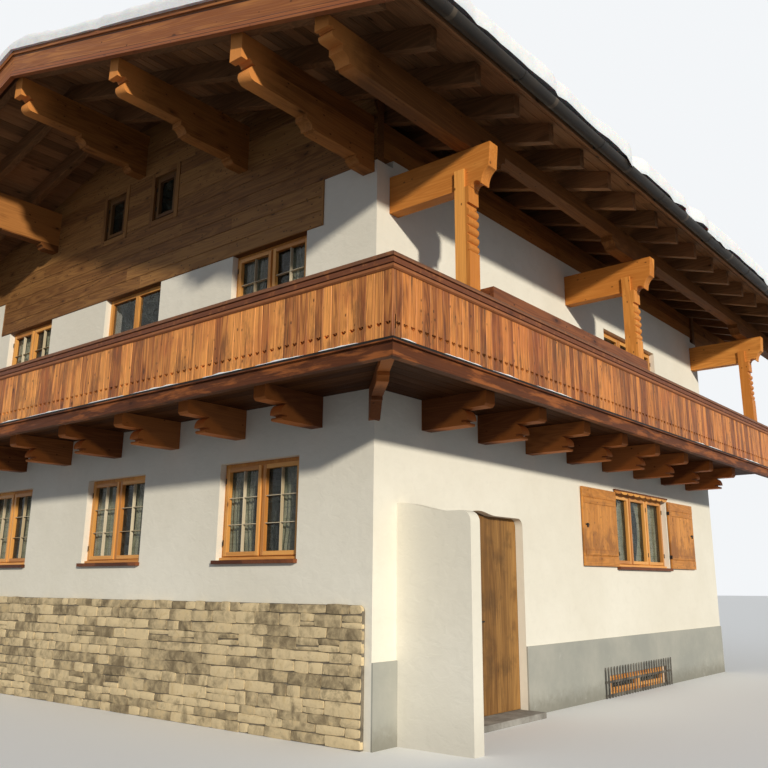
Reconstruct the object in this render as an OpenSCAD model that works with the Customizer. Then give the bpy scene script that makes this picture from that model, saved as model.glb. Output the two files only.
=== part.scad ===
// Alpine chalet: a rendered masonry house with a timber gable, a balcony round three sides
// and a wide low roof on carved purlins.
// Origin: middle of the plan, on the lowest ground. +X is the long wall with the door,
// -Y is the gable over the stone base, +Z is up. Millimetres.

/* [House] */
// Width of the house across the gable
house_w = 9660; // [9000:20:10600]
// Length of the house along the ridge
house_l = 10360; // [9800:20:11400]
// Thickness of the rendered masonry walls
wall_t = 300; // [240:10:380]
// Top of the masonry on the long sides
wall_top = 6580; // [6500:10:6700]
// Thickness of the ground slab, level with the door sill
slab_t = 70; // [50:5:100]
// Level of the upper floor
upper_floor = 3720; // [3680:10:3760]
// Thickness of the upper floor and of the attic floor
floor_t = 220; // [160:10:260]
// Level of the attic floor
attic_floor = 6500; // [6420:10:6560]
// Height of the painted plinth
plinth_h = 835; // [780:5:860]
// Thickness of the plinth coat
plinth_t = 20; // [10:1:30]
// Height of the coursed stone base under the gable
stone_h = 1400; // [1100:10:1600]
// Thickness of the stone base in front of the wall
stone_t = 60; // [40:5:90]
// Distance from the house corners to the ends of the stone base
stone_in = 90; // [0:10:200]
// Radius of the upper corners of the stone base
stone_r = 70; // [30:5:120]

/* [Gable] */
// Thickness of the timber gable walls
gable_t = 120; // [90:5:160]
// Height where the timber cladding starts
clad_z = 5870; // [5860:5:5900]
// Width of the rendered pier above the cladding line, at each corner
pier_w = 860; // [700:10:1000]
// Height of the rendered corner pier
pier_top = 6480; // [6300:10:6500]
// Width of one attic window
attic_win_w = 540; // [480:10:620]
// Height of one attic window
attic_win_h = 740; // [640:10:780]
// Sill level of the attic windows
attic_win_z = 6890; // [6850:10:6950]
// Clear width between the pair of attic windows
attic_win_gap = 740; // [600:10:860]

/* [Roof] */
// Rise of the roof for each metre of run
roof_rise = 295; // [280:5:315]
// Depth of the wall plates that lie on the side walls
plate_h = 500; // [460:10:540]
// Width of every purlin
purlin_w = 180; // [150:5:210]
// Depth of the ridge purlin
ridge_d = 480; // [420:10:540]
// Depth of the middle purlins
middle_d = 430; // [380:10:480]
// Depth of the eave purlins that run outside the walls
eave_d = 220; // [180:10:260]
// Distance from the ridge to the middle purlins
middle_x = 2420; // [2200:10:2700]
// Distance from the long wall out to the middle of the eave purlin
eave_x = 1090; // [1000:10:1160]
// Reach of the corbels under the purlins
corbel_reach = 1140; // [900:20:1300]
// Depth of the long step of a corbel
corbel_d = 160; // [130:5:180]
// Reach of the short step below it
corbel_step = 330; // [260:10:420]
// Depth of the short step
corbel_step_d = 90; // [70:5:110]
// Length of the middle saddle under an eave purlin
saddle_l = 1600; // [1200:50:2000]
// Reach of the end saddles along the house, past the middle of their bracket beam
saddle_in = 640; // [450:10:900]
// Distance that the end saddles stop short of the purlin ends
saddle_back = 200; // [100:10:300]
// Inset of the wall plate behind the wall face
plate_in = 40; // [0:5:80]
// Depth of the rafters, measured upright
rafter_d = 240; // [200:10:280]
// Width of a rafter
rafter_w = 110; // [90:5:130]
// Distance that the rafters stop short of the roof edge
rafter_back = 240; // [150:10:300]
// Distance between rafters
rafter_gap = 760; // [700:10:780]
// Distance from the gable face in to the first rafter behind it
rafter_first = 240; // [230:5:280]
// Thickness of the boarding on the rafters, measured upright
boards_t = 30; // [24:1:36]
// Thickness of the tiles and battens, measured upright
cover_t = 110; // [80:5:130]
// Overhang of the roof beyond the long walls
eave_out = 2020; // [1900:10:2150]
// Overhang of the roof beyond the gable walls, to the back of the barge boards
verge_out = 2160; // [2130:5:2300]
// Overhang of the purlins beyond the gable walls
purlin_out = 2090; // [1980:10:2110]
// Height of a barge board
barge_h = 430; // [390:5:470]
// Thickness of the main barge board
barge_t = 50; // [40:2:60]
// Depth of the narrow board under the edge of the roof boarding
eave_board_h = 90; // [84:2:120]
// Thickness of that board
eave_board_t = 25; // [20:1:30]
// Joint between the two slopes at the ridge
ridge_gap = 4; // [2:2:8]
// Outer radius of the half-round gutter
gutter_r = 75; // [65:1:85]

/* [Balcony] */
// Depth of the balcony, from the wall to the outer edge of the handrail
balcony_d = 1420; // [1380:10:1480]
// Thickness of the handrail above the parapet boards
rail_h = 60; // [50:2:70]
// Height of the cap moulding on the face of the handrail
cap_h = 40; // [30:2:46]
// Height of the flat band below the cap
band_h = 50; // [36:2:60]
// Height of the lowest moulding, over the heads of the boards
bead_h = 40; // [30:2:50]
// Reach of the handrail inwards from the parapet boards
rail_in = 60; // [40:5:80]
// Width of the rail that closes each rear end of the balcony
rail_return = 90; // [70:5:110]
// Top of the handrail
rail_top = 4520; // [4480:10:4560]
// Lower edge of the parapet boards
parapet_z = 3720; // [3710:5:3730]
// Thickness of the parapet boards
parapet_t = 26; // [22:1:32]
// Thickness of the balcony floor
deck_t = 40; // [30:2:50]
// Depth of the beam under the edge of the balcony
fascia_h = 150; // [130:5:160]
// Thickness of that beam behind the parapet boards
fascia_t = 60; // [40:5:80]
// Height of the drip strip under the parapet boards
drip_h = 35; // [30:5:50]
// Projection of the drip strip beyond the parapet boards
drip_out = 25; // [15:1:29]
// Depth of the upper cantilever joists
joist_h = 170; // [140:5:180]
// Depth of the shorter joists below them
corbel_h = 190; // [160:5:220]
// Chamfer under the end of the upper joists
joist_cut = 30; // [20:5:60]
// Width of the joists
joist_w = 180; // [150:5:200]
// Reach of the upper joists from the wall
joist_out = 900; // [800:10:1200]
// Reach of the lower joists from the wall
corbel_out = 650; // [560:10:740]
// Width of the diagonal brackets at the front corners
corner_w = 120; // [100:5:150]
// Depth of their upper tier, which runs out to the beam under the balcony edge
corner_top_h = 85; // [60:5:110]
// Reach of their middle tier
corner_mid = 1100; // [900:20:1200]
// Reach of their lower tier
corner_low = 350; // [280:10:420]
// Distance from the front corner to the first side joist
joist_first = 940; // [860:10:1000]
// Distance between side joists
joist_gap = 1180; // [1060:10:1240]
// Distance from the corners to the first joist under the front balcony
front_joist_in = 870; // [800:10:960]
// Number of bays between the joists under the front balcony
front_joist_bays = 6; // [5:1:7]

/* [Post frames] */
// Underside of the bracket beams
beam_z = 5860; // [5820:10:5900]
// Depth of the bracket beams
beam_h = 470; // [440:10:480]
// Width of the bracket beams
beam_w = 160; // [140:5:180]
// Reach of the bracket beams from the wall
beam_out = 1430; // [1380:10:1480]
// Thickness of the boards of the flower box
box_t = 28; // [20:1:35]
// Distance from the flower box to the posts beside it
box_gap = 40; // [20:5:120]
// Width of the flower box
box_w = 250; // [200:10:280]
// Height of the flower box
box_h = 260; // [220:10:300]
// Distance from the house corner to the middle of the first bracket beam
beam_in = 310; // [280:5:340]
// Place of the middle bracket beam along the house
beam_mid = -510; // [-600:10:-400]
// Distance from the wall to the inner face of a post
post_x = 970; // [940:5:1000]
// Depth of a post, away from the wall
post_d = 190; // [170:5:220]
// Thickness of the cheek of a post beside its beam
cheek_t = 35; // [25:1:50]
// Width of the cheek
cheek_w = 130; // [110:5:150]
// Height of the cheek above the underside of the beam
cheek_h = 225; // [180:5:300]
// Number of rolls carved into the outer face of a post
roll_count = 5; // [4:1:6]
// Height of one roll
roll_h = 103; // [90:1:105]
// Depth of the grooves between the rolls
roll_in = 30; // [20:1:40]
// Level of the foot of the lowest roll
roll_z = 5098; // [4900:5:5100]

/* [Door] */
// Distance from the gable corner to the middle of the doorway
door_y = 2030; // [1980:10:2100]
// Width of the doorway
door_w = 2060; // [1960:10:2100]
// Height of the doorway at its shoulders, above the ground
door_shoulder = 2450; // [2380:10:2480]
// Rise of the curved crown above the shoulders
door_rise = 45; // [30:5:60]
// Half width of the curved crown
crown_w = 380; // [320:10:440]
// Radius of the upper corners of the doorway
door_r = 110; // [80:5:140]
// Depth of the doorway in front of the leaves
door_in = 120; // [90:5:150]
// Lap of a leaf behind the masonry of the doorway
door_lap = 30; // [20:2:50]
// Thickness of a door leaf
leaf_t = 60; // [45:1:70]
// Radius of the hinge pins behind the door leaves
pin_r = 7; // [5:0.5:8]
// Wall of the hinge eyes round the pins
eye_wall = 5; // [4:0.5:6]
// Height of a hinge eye and its strap
eye_h = 60; // [50:5:80]
// Level of the lower hinges of a door leaf
eye_low = 300; // [200:10:500]
// Distance of the upper hinges below the head of a leaf
eye_high = 450; // [300:10:600]
// Length of a strap hinge
strap_l = 480; // [300:10:700]
// Thickness of a strap hinge
strap_t = 10; // [8:1:11]
// Gap between the two leaves
door_meet = 10; // [9:1:14]
// Clearance round a door leaf
leaf_gap = 7; // [6:1:9]
// Reach of the door step beyond the wall
step_out = 260; // [200:10:320]

/* [Wing wall] */
// Distance from the gable corner to the wing wall beside the door
wing_y = 398; // [380:2:420]
// Thickness of the wing wall
wing_t = 172; // [150:2:190]
// Reach of the wing wall from the long wall
wing_out = 972; // [900:4:1040]
// Height of the wing wall at the long wall
wing_h = 2475; // [2400:5:2520]
// Drop of the curved top from the wall to the outer end
wing_drop = 120; // [90:5:150]
// Length of the level top before the rounded corner
wing_flat = 130; // [80:10:200]
// Radius of the rounded corner
wing_r = 120; // [60:10:160]

/* [Windows] */
// Width of the long windows in the side walls
long_win_w = 2120; // [2000:10:2200]
// Distance from the gable corner to the middle of the long windows
long_win_y = 6990; // [6900:10:7100]
// Sill level of the lower windows
low_sill = 1880; // [1840:10:1920]
// Head level of the lower windows
low_head = 3060; // [3020:10:3100]
// Sill level of the upper windows
up_sill = 4700; // [4640:10:4760]
// Head level of the upper windows on the long walls
up_head = 5800; // [5760:10:5840]
// Width of the windows in the gable walls
win_w = 1400; // [1300:10:1460]
// Distance from the house corner to the nearer jamb of a gable window
win_in = 1140; // [1100:10:1240]
// Depth of a window reveal
reveal = 90; // [60:5:120]
// Depth of the frames of the attic windows behind the boards
attic_reveal = 27; // [20:1:40]
// Width of the frame timbers
frame_w = 62; // [50:1:75]
// Depth of the frame timbers
frame_t = 70; // [50:1:80]
// Thickness of the glass
glass_t = 6; // [4:1:10]
// Depth of a window sill in front of the wall
sill_out = 60; // [40:5:80]
// Thickness of a window sill
sill_h = 45; // [30:5:60]
// Length of a sill beyond each side of its window
sill_side = 20; // [0:5:24]
// Height of the solid panels at the foot of the balcony door
door_panel_h = 700; // [500:20:900]
// Width of a shutter leaf
shutter_w = 1150; // [1050:10:1180]
// Gap between an open shutter and the wall
shutter_gap = 12; // [8:1:20]
// Gap between a window and its open shutters
shutter_side = 25; // [24:1:40]
// Thickness of a shutter leaf
shutter_t = 34; // [26:1:40]
// Width of the stays that hold a shutter off the wall
stay_w = 40; // [30:2:50]
// Distance from a stay to the edge of its shutter
stay_in = 40; // [20:5:80]
// Width of the cellar window
cellar_w = 2100; // [1900:10:2200]
// Height of the cellar window
cellar_h = 280; // [260:5:320]
// Level of the lower edge of the cellar window
cellar_z = 25; // [20:5:40]
// Depth of the reveal of the cellar window
cellar_reveal = 35; // [25:5:60]
// Length of the cellar grille
grille_w = 2470; // [2300:10:2600]
// Level of the lower rail of the grille
rail_low = 20; // [10:5:60]
// Level of the upper rail of the grille
rail_high = 205; // [180:5:230]
// Height of the pickets of the grille
picket_h = 430; // [380:10:520]
// Thickness of a picket
picket_w = 14; // [10:1:18]
// Thickness of the rails behind the pickets
rail_bar = 15; // [12:1:20]
// Number of pickets
picket_count = 26; // [16:1:30]
// Distance from the gable corner to the middle of the cellar window
cellar_y = 6450; // [6400:5:6600]

/* [Hidden] */
$fn = 32;

render_col = [0.93, 0.90, 0.82];
timber_col = [0.62, 0.36, 0.17];
dark_timber_col = [0.38, 0.20, 0.11];
parapet_col = [0.60, 0.28, 0.14];
door_col = [0.55, 0.37, 0.18];
roof_col = [0.30, 0.27, 0.25];
metal_col = [0.20, 0.19, 0.19];
stone_col = [0.62, 0.57, 0.48];
plinth_col = [0.45, 0.49, 0.47];
glass_col = [0.55, 0.62, 0.66, 0.6];

hw = house_w / 2;
hl = house_l / 2;
big = 20000;
slope = roof_rise / 1000;
plate_x = hw - plate_in - purlin_w / 2;
edge_x = hw + eave_out;
verge_y = hl + verge_out;
// Sizes of the cove and the bead of a carved end, as shares of its depth
nose_cove = 0.56;
nose_bead = 0.17;
// Shares of its depth at the carved end of a purlin: underside of the plumb face, distance from
// the face to the middle of the nose, radius of the nose and radius of the quirk before it
end_face = 0.38;
end_in = 0.40;
end_nose = 0.17;
end_quirk = 0.07;
// Shares of its depth at the end of a lower joist: radius of the swelling nose, level of its
// middle, level and length of the quirk below it and radius of the bead at the foot
swell_r = 0.62;
swell_z = 0.40;
quirk_z = 0.32;
quirk_in = 0.45;
bead_r = 0.09;
// Lowest tier of a corner bracket: fillet as a share of its depth, lower and upper end of the rake
// as shares of its reach
corner_fillet = 0.2;
rake_low = 0.17;
rake_high = 0.8;
// Share of the frame width in each meeting stile of the balcony door
meet_stile = 0.75;
// Height and depth of the grooves in the face of the handrail
groove_h = 14;
groove_in = 14;
// Gap left between timbers that meet at a mitre or rest on a slanting bed
seat_gap = 0.3;
mitre_gap = 3;
// Height of the underside of the rafters at a distance x from the ridge
function under(x) = wall_top + plate_h + (plate_x - abs(x)) * slope;
boards_off = rafter_d;
cover_off = rafter_d + boards_t;
top_off = rafter_d + boards_t + cover_t;
eave_bottom = under(hw + eave_x) - eave_d;
deck_top = upper_floor + 20;
joist_top = deck_top - deck_t;
parapet_out = balcony_d - 30;
beam_top = beam_z + beam_h;
door_mid = door_y - hl;
door_bottom = slab_t;
leaf_top = door_shoulder + door_rise + door_lap;

// Stands a drawing made in X and Z upright, with its face towards -Y at y0 and its back at y1
module upright(y0, y1) {
    translate([0, y1, 0])
        rotate([90, 0, 0])
            linear_extrude(y1 - y0)
                children();
}

// Stands a drawing made in Y and Z upright, from x0 to x1
module sideways(x0, x1) {
    translate([x0, 0, 0])
        rotate([90, 0, 90])
            linear_extrude(x1 - x0)
                children();
}

module both_sides() {
    children();
    mirror([1, 0, 0])
        children();
}

module both_ends() {
    children();
    mirror([0, 1, 0])
        children();
}

// Rectangle from one corner to the other
module rect(x0, z0, x1, z1) {
    translate([x0, z0])
        square([x1 - x0, z1 - z0]);
}

module block(x0, y0, z0, x1, y1, z1) {
    translate([x0, y0, z0])
        cube([x1 - x0, y1 - y0, z1 - z0]);
}

// Band of the roof section on both slopes, from lo to hi above the rafters' underside, out to x1
module roof_band(x1, lo, hi) {
    x0 = ridge_gap / 2;
    for (s = [-1, 1])
        polygon([
            [s * x0, under(x0) + lo], [s * x1, under(x1) + lo],
            [s * x1, under(x1) + hi], [s * x0, under(x0) + hi]
        ]);
}

// Section of a purlin whose upper face follows the rafters
module purlin_section(x, d) {
    w = purlin_w / 2;
    bottom = under(x) - d;
    if (x == 0)
        polygon([[-w, bottom], [w, bottom], [w, under(w)], [0, under(0)], [-w, under(w)]]);
    else
        polygon([[x - w, bottom], [x + w, bottom], [x + w, under(x + w)], [x - w, under(x - w)]]);
}

// Cuts the carved ends of a purlin whose underside is at bottom and whose depth is d: a plumb
// face with a short flat underside, a quirk and a round nose
module carved_ends(bottom, d, x) {
    both_ends()
        sideways(x - purlin_w, x + purlin_w)
            translate([-hl - purlin_out, bottom])
                difference() {
                    union() {
                        rect(-1, -1, d * end_in, d * end_face);
                        translate([d * (end_in - end_nose), d * end_face])
                            circle(r = d * end_quirk);
                    }
                    translate([d * end_in, d * end_nose])
                        circle(r = d * end_nose);
                }
}

module purlin(x, d) {
    difference() {
        upright(-hl - purlin_out, hl + purlin_out)
            purlin_section(x, d);
        carved_ends(under(x) - d, d, x);
    }
}

// Outline of the doorway, drawn in Y and Z about its middle
module door_outline() {
    w = door_w / 2;
    r = door_r;
    steps = 12;
    crown = [for (i = [-steps : steps])
        [i * crown_w / steps, door_shoulder + door_rise * (1 + cos(180 * i / steps)) / 2]];
    polygon(concat([[crown_w, door_shoulder - 60]], [[-crown_w, door_shoulder - 60]], crown));
    rect(-w, door_bottom, w, door_shoulder - r);
    rect(-w + r, door_shoulder - r - 1, w - r, door_shoulder);
    for (s = [-1, 1])
        translate([s * (w - r), door_shoulder - r])
            circle(r = r, $fn = 40);
}

// Wider rebate behind the doorway, where the leaves swing inwards
module door_rebate() {
    w = leaf_edge + leaf_gap;
    block(hw - wall_t - 1, door_mid - w, -1, hw - door_in + leaf_gap, door_mid + w, leaf_top + leaf_gap);
}

// Windows as [middle, width, sill, head]: middle is along the wall from the house centre
long_mid = long_win_y - hl;
gable_mid = hw - win_in - win_w / 2;
up_gable_head = clad_z - 10;
long_windows = [[long_mid, long_win_w, low_sill, low_head], [long_mid, long_win_w, up_sill, up_head]];
front_windows = [
    [-gable_mid, win_w, low_sill, low_head], [0, win_w, low_sill, low_head],
    [gable_mid, win_w, low_sill, low_head],
    [-gable_mid, win_w, up_sill, clad_z], [gable_mid, win_w, up_sill, clad_z]
];
rear_windows = concat(front_windows, [[0, win_w, up_sill, clad_z]]);
attic_mid = (attic_win_gap + attic_win_w) / 2;
attic_windows = [
    [-attic_mid, attic_win_w, attic_win_z, attic_win_z + attic_win_h],
    [attic_mid, attic_win_w, attic_win_z, attic_win_z + attic_win_h]
];

module window_holes(list) {
    for (win = list)
        rect(win[0] - win[1] / 2, win[2], win[0] + win[1] / 2, win[3]);
}

module ground_floor() {
    color(stone_col)
        block(-hw + wall_t, -hl + wall_t, 0, hw - wall_t, hl - wall_t, slab_t);
}

module upper_floor() {
    color(timber_col)
        block(-hw + wall_t, -hl + wall_t, upper_floor - floor_t, hw - wall_t, hl - wall_t, upper_floor);
}

module attic_floor() {
    color(timber_col)
        block(-hw + wall_t, -hl + wall_t, attic_floor - floor_t, hw - wall_t, hl - wall_t, attic_floor);
}

// Outline of the masonry end wall: a pier stands at each corner above the cladding line
module end_wall_outline() {
    rect(-hw, 0, hw, clad_z);
    for (s = [-1, 1])
        rect(s > 0 ? hw - pier_w : -hw, clad_z - 1, s > 0 ? hw : -hw + pier_w, pier_top);
}

module front_wall() {
    color(render_col)
        upright(-hl, -hl + wall_t)
            difference() {
                end_wall_outline();
                window_holes(front_windows);
                rect(-win_w / 2, deck_top, win_w / 2, clad_z + 1);
            }
}

module rear_wall() {
    color(render_col)
        upright(hl - wall_t, hl)
            difference() {
                end_wall_outline();
                window_holes(rear_windows);
            }
}

module left_wall() {
    color(render_col)
        sideways(-hw, -hw + wall_t)
            difference() {
                rect(-hl + wall_t, 0, hl - wall_t, wall_top);
                window_holes(long_windows);
            }
}

// Long wall with the door: the pier beside the door
module right_wall_corner() {
    color(render_col)
        difference() {
            block(hw - wall_t, -hl + wall_t, 0, hw, door_mid - door_w / 2, wall_top);
            door_rebate();
        }
}

module right_wall_over_door() {
    color(render_col)
        difference() {
            sideways(hw - wall_t, hw)
                difference() {
                    rect(door_mid - door_w / 2, door_shoulder - door_r, door_mid + door_w / 2, wall_top);
                    translate([door_mid, 0])
                        door_outline();
                }
            door_rebate();
        }
}

module right_wall() {
    color(render_col)
        difference() {
            sideways(hw - wall_t, hw)
                difference() {
                    rect(door_mid + door_w / 2, 0, hl - wall_t, wall_top);
                    window_holes(long_windows);
                    cellar_hole();
                }
            door_rebate();
        }
}

module cellar_hole() {
    mid = cellar_y - hl;
    rect(mid - cellar_w / 2, cellar_z, mid + cellar_w / 2, cellar_z + cellar_h);
}

module stone_base() {
    w = hw - stone_in;
    color(stone_col)
        upright(-hl - stone_t, -hl) {
            rect(-w, 0, w, stone_h - stone_r);
            rect(-w + stone_r, 0, w - stone_r, stone_h);
            for (s = [-1, 1])
                translate([s * (w - stone_r), stone_h - stone_r])
                    circle(r = stone_r);
        }
}

// Painted plinth coat on the long walls and the rear, with a short piece beside the wing wall
module plinth() {
    color(plinth_col) {
        sideways(hw, hw + plinth_t)
            difference() {
                rect(door_mid + door_w / 2, 0, hl, plinth_h);
                cellar_hole();
            }
        block(hw, -hl, 0, hw + plinth_t, -hl + wing_y, plinth_h);
        block(-hw - plinth_t, -hl, 0, -hw, hl, plinth_h);
        block(-hw + 1, hl, 0, hw - 1, hl + plinth_t, plinth_h);
    }
}

// Screen wall beside the door, with a swept top and a rounded outer corner
module wing_wall() {
    steps = 10;
    r = wing_r;
    sweep = wing_out - r - wing_flat;
    low = wing_h - wing_drop;
    color(render_col)
        upright(-hl + wing_y, -hl + wing_y + wing_t)
            translate([hw, 0]) {
                polygon(concat(
                    [[sweep, 0], [0, 0]],
                    [for (i = [0 : steps])
                        [i * sweep / steps, low + wing_drop * (1 + cos(180 * i / steps)) / 2]]
                ));
                rect(sweep - 1, 0, wing_out - r, low);
                rect(wing_out - r - 1, 0, wing_out, low - r);
                translate([wing_out - r, low - r])
                    circle(r = r, $fn = 48);
            }
}

module door_step() {
    color(stone_col)
        block(hw - wall_t, door_mid - door_w / 2, 0, hw + step_out, door_mid + door_w / 2, slab_t);
}

// Each leaf hangs on pins behind its back face and opens into the house
pin_clear = 0.3;
eye_r = pin_r + pin_clear + eye_wall;
pin_x = hw - door_in - leaf_t - eye_r;
pin_in = 12;
leaf_edge = door_w / 2 + door_lap;
eye_places = [eye_low, leaf_top - eye_high];

// One half of the door, with two strap hinges on its back: side is -1 for the leaf near the
// gable and 1 for the far one
module door_leaf(side) {
    x = hw - door_in;
    translate([0, door_mid, 0])
        mirror([0, side < 0 ? 1 : 0, 0]) {
            block(x - leaf_t, door_meet / 2, door_bottom + leaf_gap, x, leaf_edge, leaf_top);
            for (z = eye_places)
                difference() {
                    union() {
                        block(x - leaf_t - strap_t, leaf_edge - pin_in - strap_l, z,
                              x - leaf_t, leaf_edge - pin_in, z + eye_h);
                        translate([pin_x, leaf_edge - pin_in, z])
                            cylinder(h = eye_h, r = eye_r);
                    }
                    translate([pin_x, leaf_edge - pin_in, z - 1])
                        cylinder(h = eye_h + 2, r = pin_r + pin_clear);
                }
        }
}

// Hinge pins on arms that are let into the sides of the rebate
module door_pintles() {
    color(metal_col)
        translate([0, door_mid, 0])
            both_ends()
                for (z = eye_places) {
                    block(pin_x - pin_r, leaf_edge - pin_in, z - pin_clear - 20,
                          pin_x + pin_r, leaf_edge + leaf_gap, z - pin_clear);
                    translate([pin_x, leaf_edge - pin_in, z - pin_clear - 20])
                        cylinder(h = eye_h + 30, r = pin_r);
                }
}

module door_leaf_near() {
    color(door_col)
        door_leaf(-1);
}

module door_leaf_far() {
    color(door_col)
        door_leaf(1);
}

// Timber gable wall, from the cladding line up to the roof boarding and round the purlins
module gable_wall(y0, y1) {
    color(timber_col)
        upright(y0, y1)
            difference() {
                intersection() {
                    union() {
                        rect(-hw + pier_w, clad_z, hw - pier_w, big);
                        rect(-hw, pier_top, hw, big);
                    }
                    polygon([
                        [-hw, 0], [hw, 0], [hw, under(hw) + boards_off],
                        [0, under(0) + boards_off], [-hw, under(hw) + boards_off]
                    ]);
                }
                window_holes(attic_windows);
                purlin_section(0, ridge_d);
                for (s = [-1, 1]) {
                    purlin_section(s * middle_x, middle_d);
                    purlin_section(s * plate_x, plate_h);
                }
            }
}

module front_gable() {
    gable_wall(-hl, -hl + gable_t);
}

module rear_gable() {
    gable_wall(hl - gable_t, hl);
}

module ridge_purlin() {
    color(timber_col)
        purlin(0, ridge_d);
}

module middle_purlins() {
    color(timber_col)
        both_sides()
            purlin(middle_x, middle_d);
}

module wall_plates() {
    color(timber_col)
        both_sides()
            purlin(plate_x, plate_h);
}

module eave_purlins() {
    color(timber_col)
        both_sides()
            purlin(hw + eave_x, eave_d);
}

// Stepped carved corbel under a purlin, drawn in Y and Z outwards from the gable wall at 0
module corbel_profile() {
    d = corbel_d + corbel_step_d;
    difference() {
        union() {
            rect(0, -corbel_d, corbel_reach, 0);
            rect(0, -d, corbel_step, 1 - corbel_d);
        }
        carved_nose(corbel_reach, -corbel_d, corbel_d);
        carved_nose(corbel_step, -d, corbel_step_d);
    }
}

// Cove and fillet cut into the lower outer corner of a timber end whose corner is at [x, z]
module carved_nose(x, z, d) {
    translate([x, z])
        circle(r = d * nose_cove);
    translate([x - d * (nose_cove + nose_bead), z - d * nose_bead / 3])
        circle(r = d * nose_bead);
}

module corbel_under(x, d) {
    bottom = under(x) - d;
    both_ends()
        translate([x - purlin_w / 2, -hl, bottom])
            mirror([0, 1, 0])
                sideways(0, purlin_w)
                    corbel_profile();
}

// Saddle beam between a bracket beam and the eave purlin, from y0 to y1
module saddle(y0, y1) {
    low = beam_top;
    h = eave_bottom - beam_top;
    w = purlin_w;
    x = hw + eave_x - w / 2;
    difference() {
        block(x, y0, low, x + w, y1, low + h);
        sideways(x - 1, x + w + 1) {
            carved_nose(y1, low, h);
            mirror([1, 0])
                carved_nose(-y0, low, h);
        }
    }
}

module purlin_corbels() {
    out = hl + purlin_out - saddle_back;
    in = hl - beam_in - saddle_in;
    color(timber_col) {
        corbel_under(0, ridge_d);
        both_sides() {
            corbel_under(middle_x, middle_d);
            corbel_under(plate_x, plate_h);
            saddle(-out, -in);
            saddle(beam_mid - saddle_l / 2, beam_mid + saddle_l / 2);
            saddle(in, out);
        }
    }
}

// Bracket beam drawn in X and Z outwards from the wall, with a swept carved end
module beam_profile() {
    head = beam_out;
    difference() {
        rect(0, beam_z, head, beam_top);
        translate([head + 20, beam_z])
            scale([0.75, 1])
                circle(r = 190);
        translate([head - 200, beam_z - 12])
            circle(r = 62);
        polygon([
            [head, beam_top + 1], [head + 1, beam_top - 20], [head - 30, beam_z + 80], [head + 30, beam_z + 80]
        ]);
    }
}

beam_places = [-hl + beam_in, beam_mid, hl - beam_in];

module bracket_beams() {
    color(timber_col)
        both_sides()
            for (y = beam_places)
                upright(y - beam_w / 2, y + beam_w / 2)
                    translate([hw, 0])
                        beam_profile();
}

// Post with a row of rolls carved into its outer face and a cheek that laps the beam
module post(y) {
    x0 = hw + post_x;
    x1 = x0 + post_d;
    y0 = y - beam_w / 2 - cheek_t;
    r = roll_h / 2;
    upright(y0, y + beam_w / 2) {
        rect(x0, deck_top, x1 - roll_in, beam_z);
        rect(x0, deck_top, x1, roll_z);
        rect(x0, roll_z + roll_count * roll_h + r, x1, beam_z);
        for (i = [0 : roll_count - 1])
            translate([x1 - r, roll_z + (2 * i + 1) * r])
                circle(r = r, $fn = 24);
    }
    block(x0, y0, beam_z - 1, x0 + cheek_w, y - beam_w / 2, beam_z + cheek_h);
}

module posts() {
    color(timber_col)
        both_sides()
            for (y = beam_places)
                post(y);
}

// Rafters stand clear of the gable walls: inside places are spread evenly, outside ones count outwards
rafter_in = hl - rafter_first;
rafter_bays = round(2 * rafter_in / rafter_gap);
rafter_outer = floor((verge_out + rafter_first - rafter_w / 2) / rafter_gap);
rafter_places = concat(
    [for (i = [0 : rafter_bays]) -rafter_in + i * 2 * rafter_in / rafter_bays],
    [for (s = [-1, 1]) for (i = [1 : rafter_outer]) s * (rafter_in + i * rafter_gap)]
);

module rafters() {
    color(dark_timber_col)
        for (y = rafter_places)
            upright(y - rafter_w / 2, y + rafter_w / 2)
                roof_band(edge_x - rafter_back, 0, rafter_d);
}

module roof_boards() {
    color(dark_timber_col)
        upright(-verge_y, verge_y)
            roof_band(edge_x, boards_off, cover_off);
}

module roof_cover() {
    color(roof_col)
        upright(-verge_y, verge_y)
            roof_band(edge_x, cover_off, top_off);
}

// Barge board of three boards: a wide one, a proud strip along its top and one along its foot
module barge_boards() {
    reach = edge_x;
    color(parapet_col)
        both_ends()
            mirror([0, 1, 0]) {
                upright(verge_y, verge_y + barge_t)
                    roof_band(reach, top_off - barge_h, top_off);
                upright(verge_y + barge_t - 1, verge_y + barge_t + 24)
                    roof_band(reach, top_off - 90, top_off);
                upright(verge_y + barge_t - 1, verge_y + barge_t + 14)
                    roof_band(reach, top_off - barge_h, top_off - barge_h + 75);
            }
}

// Narrow board under the edge of the roof boarding, which carries the gutter brackets
module eave_boards() {
    x = edge_x - eave_board_t;
    z = under(edge_x) + boards_off;
    color(dark_timber_col)
        both_sides()
            upright(-verge_y, verge_y)
                polygon([
                    [x, z - eave_board_h], [edge_x, z - eave_board_h], [edge_x, z], [x, under(x) + boards_off]
                ]);
}

// Half-round gutter along each eave, with closed ends, in brackets fixed to the eave board
gutter_count = 8;
gutter_places = [for (i = [0 : gutter_count]) (i / gutter_count - 0.5) * 2 * (verge_y - 150)];

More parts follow.
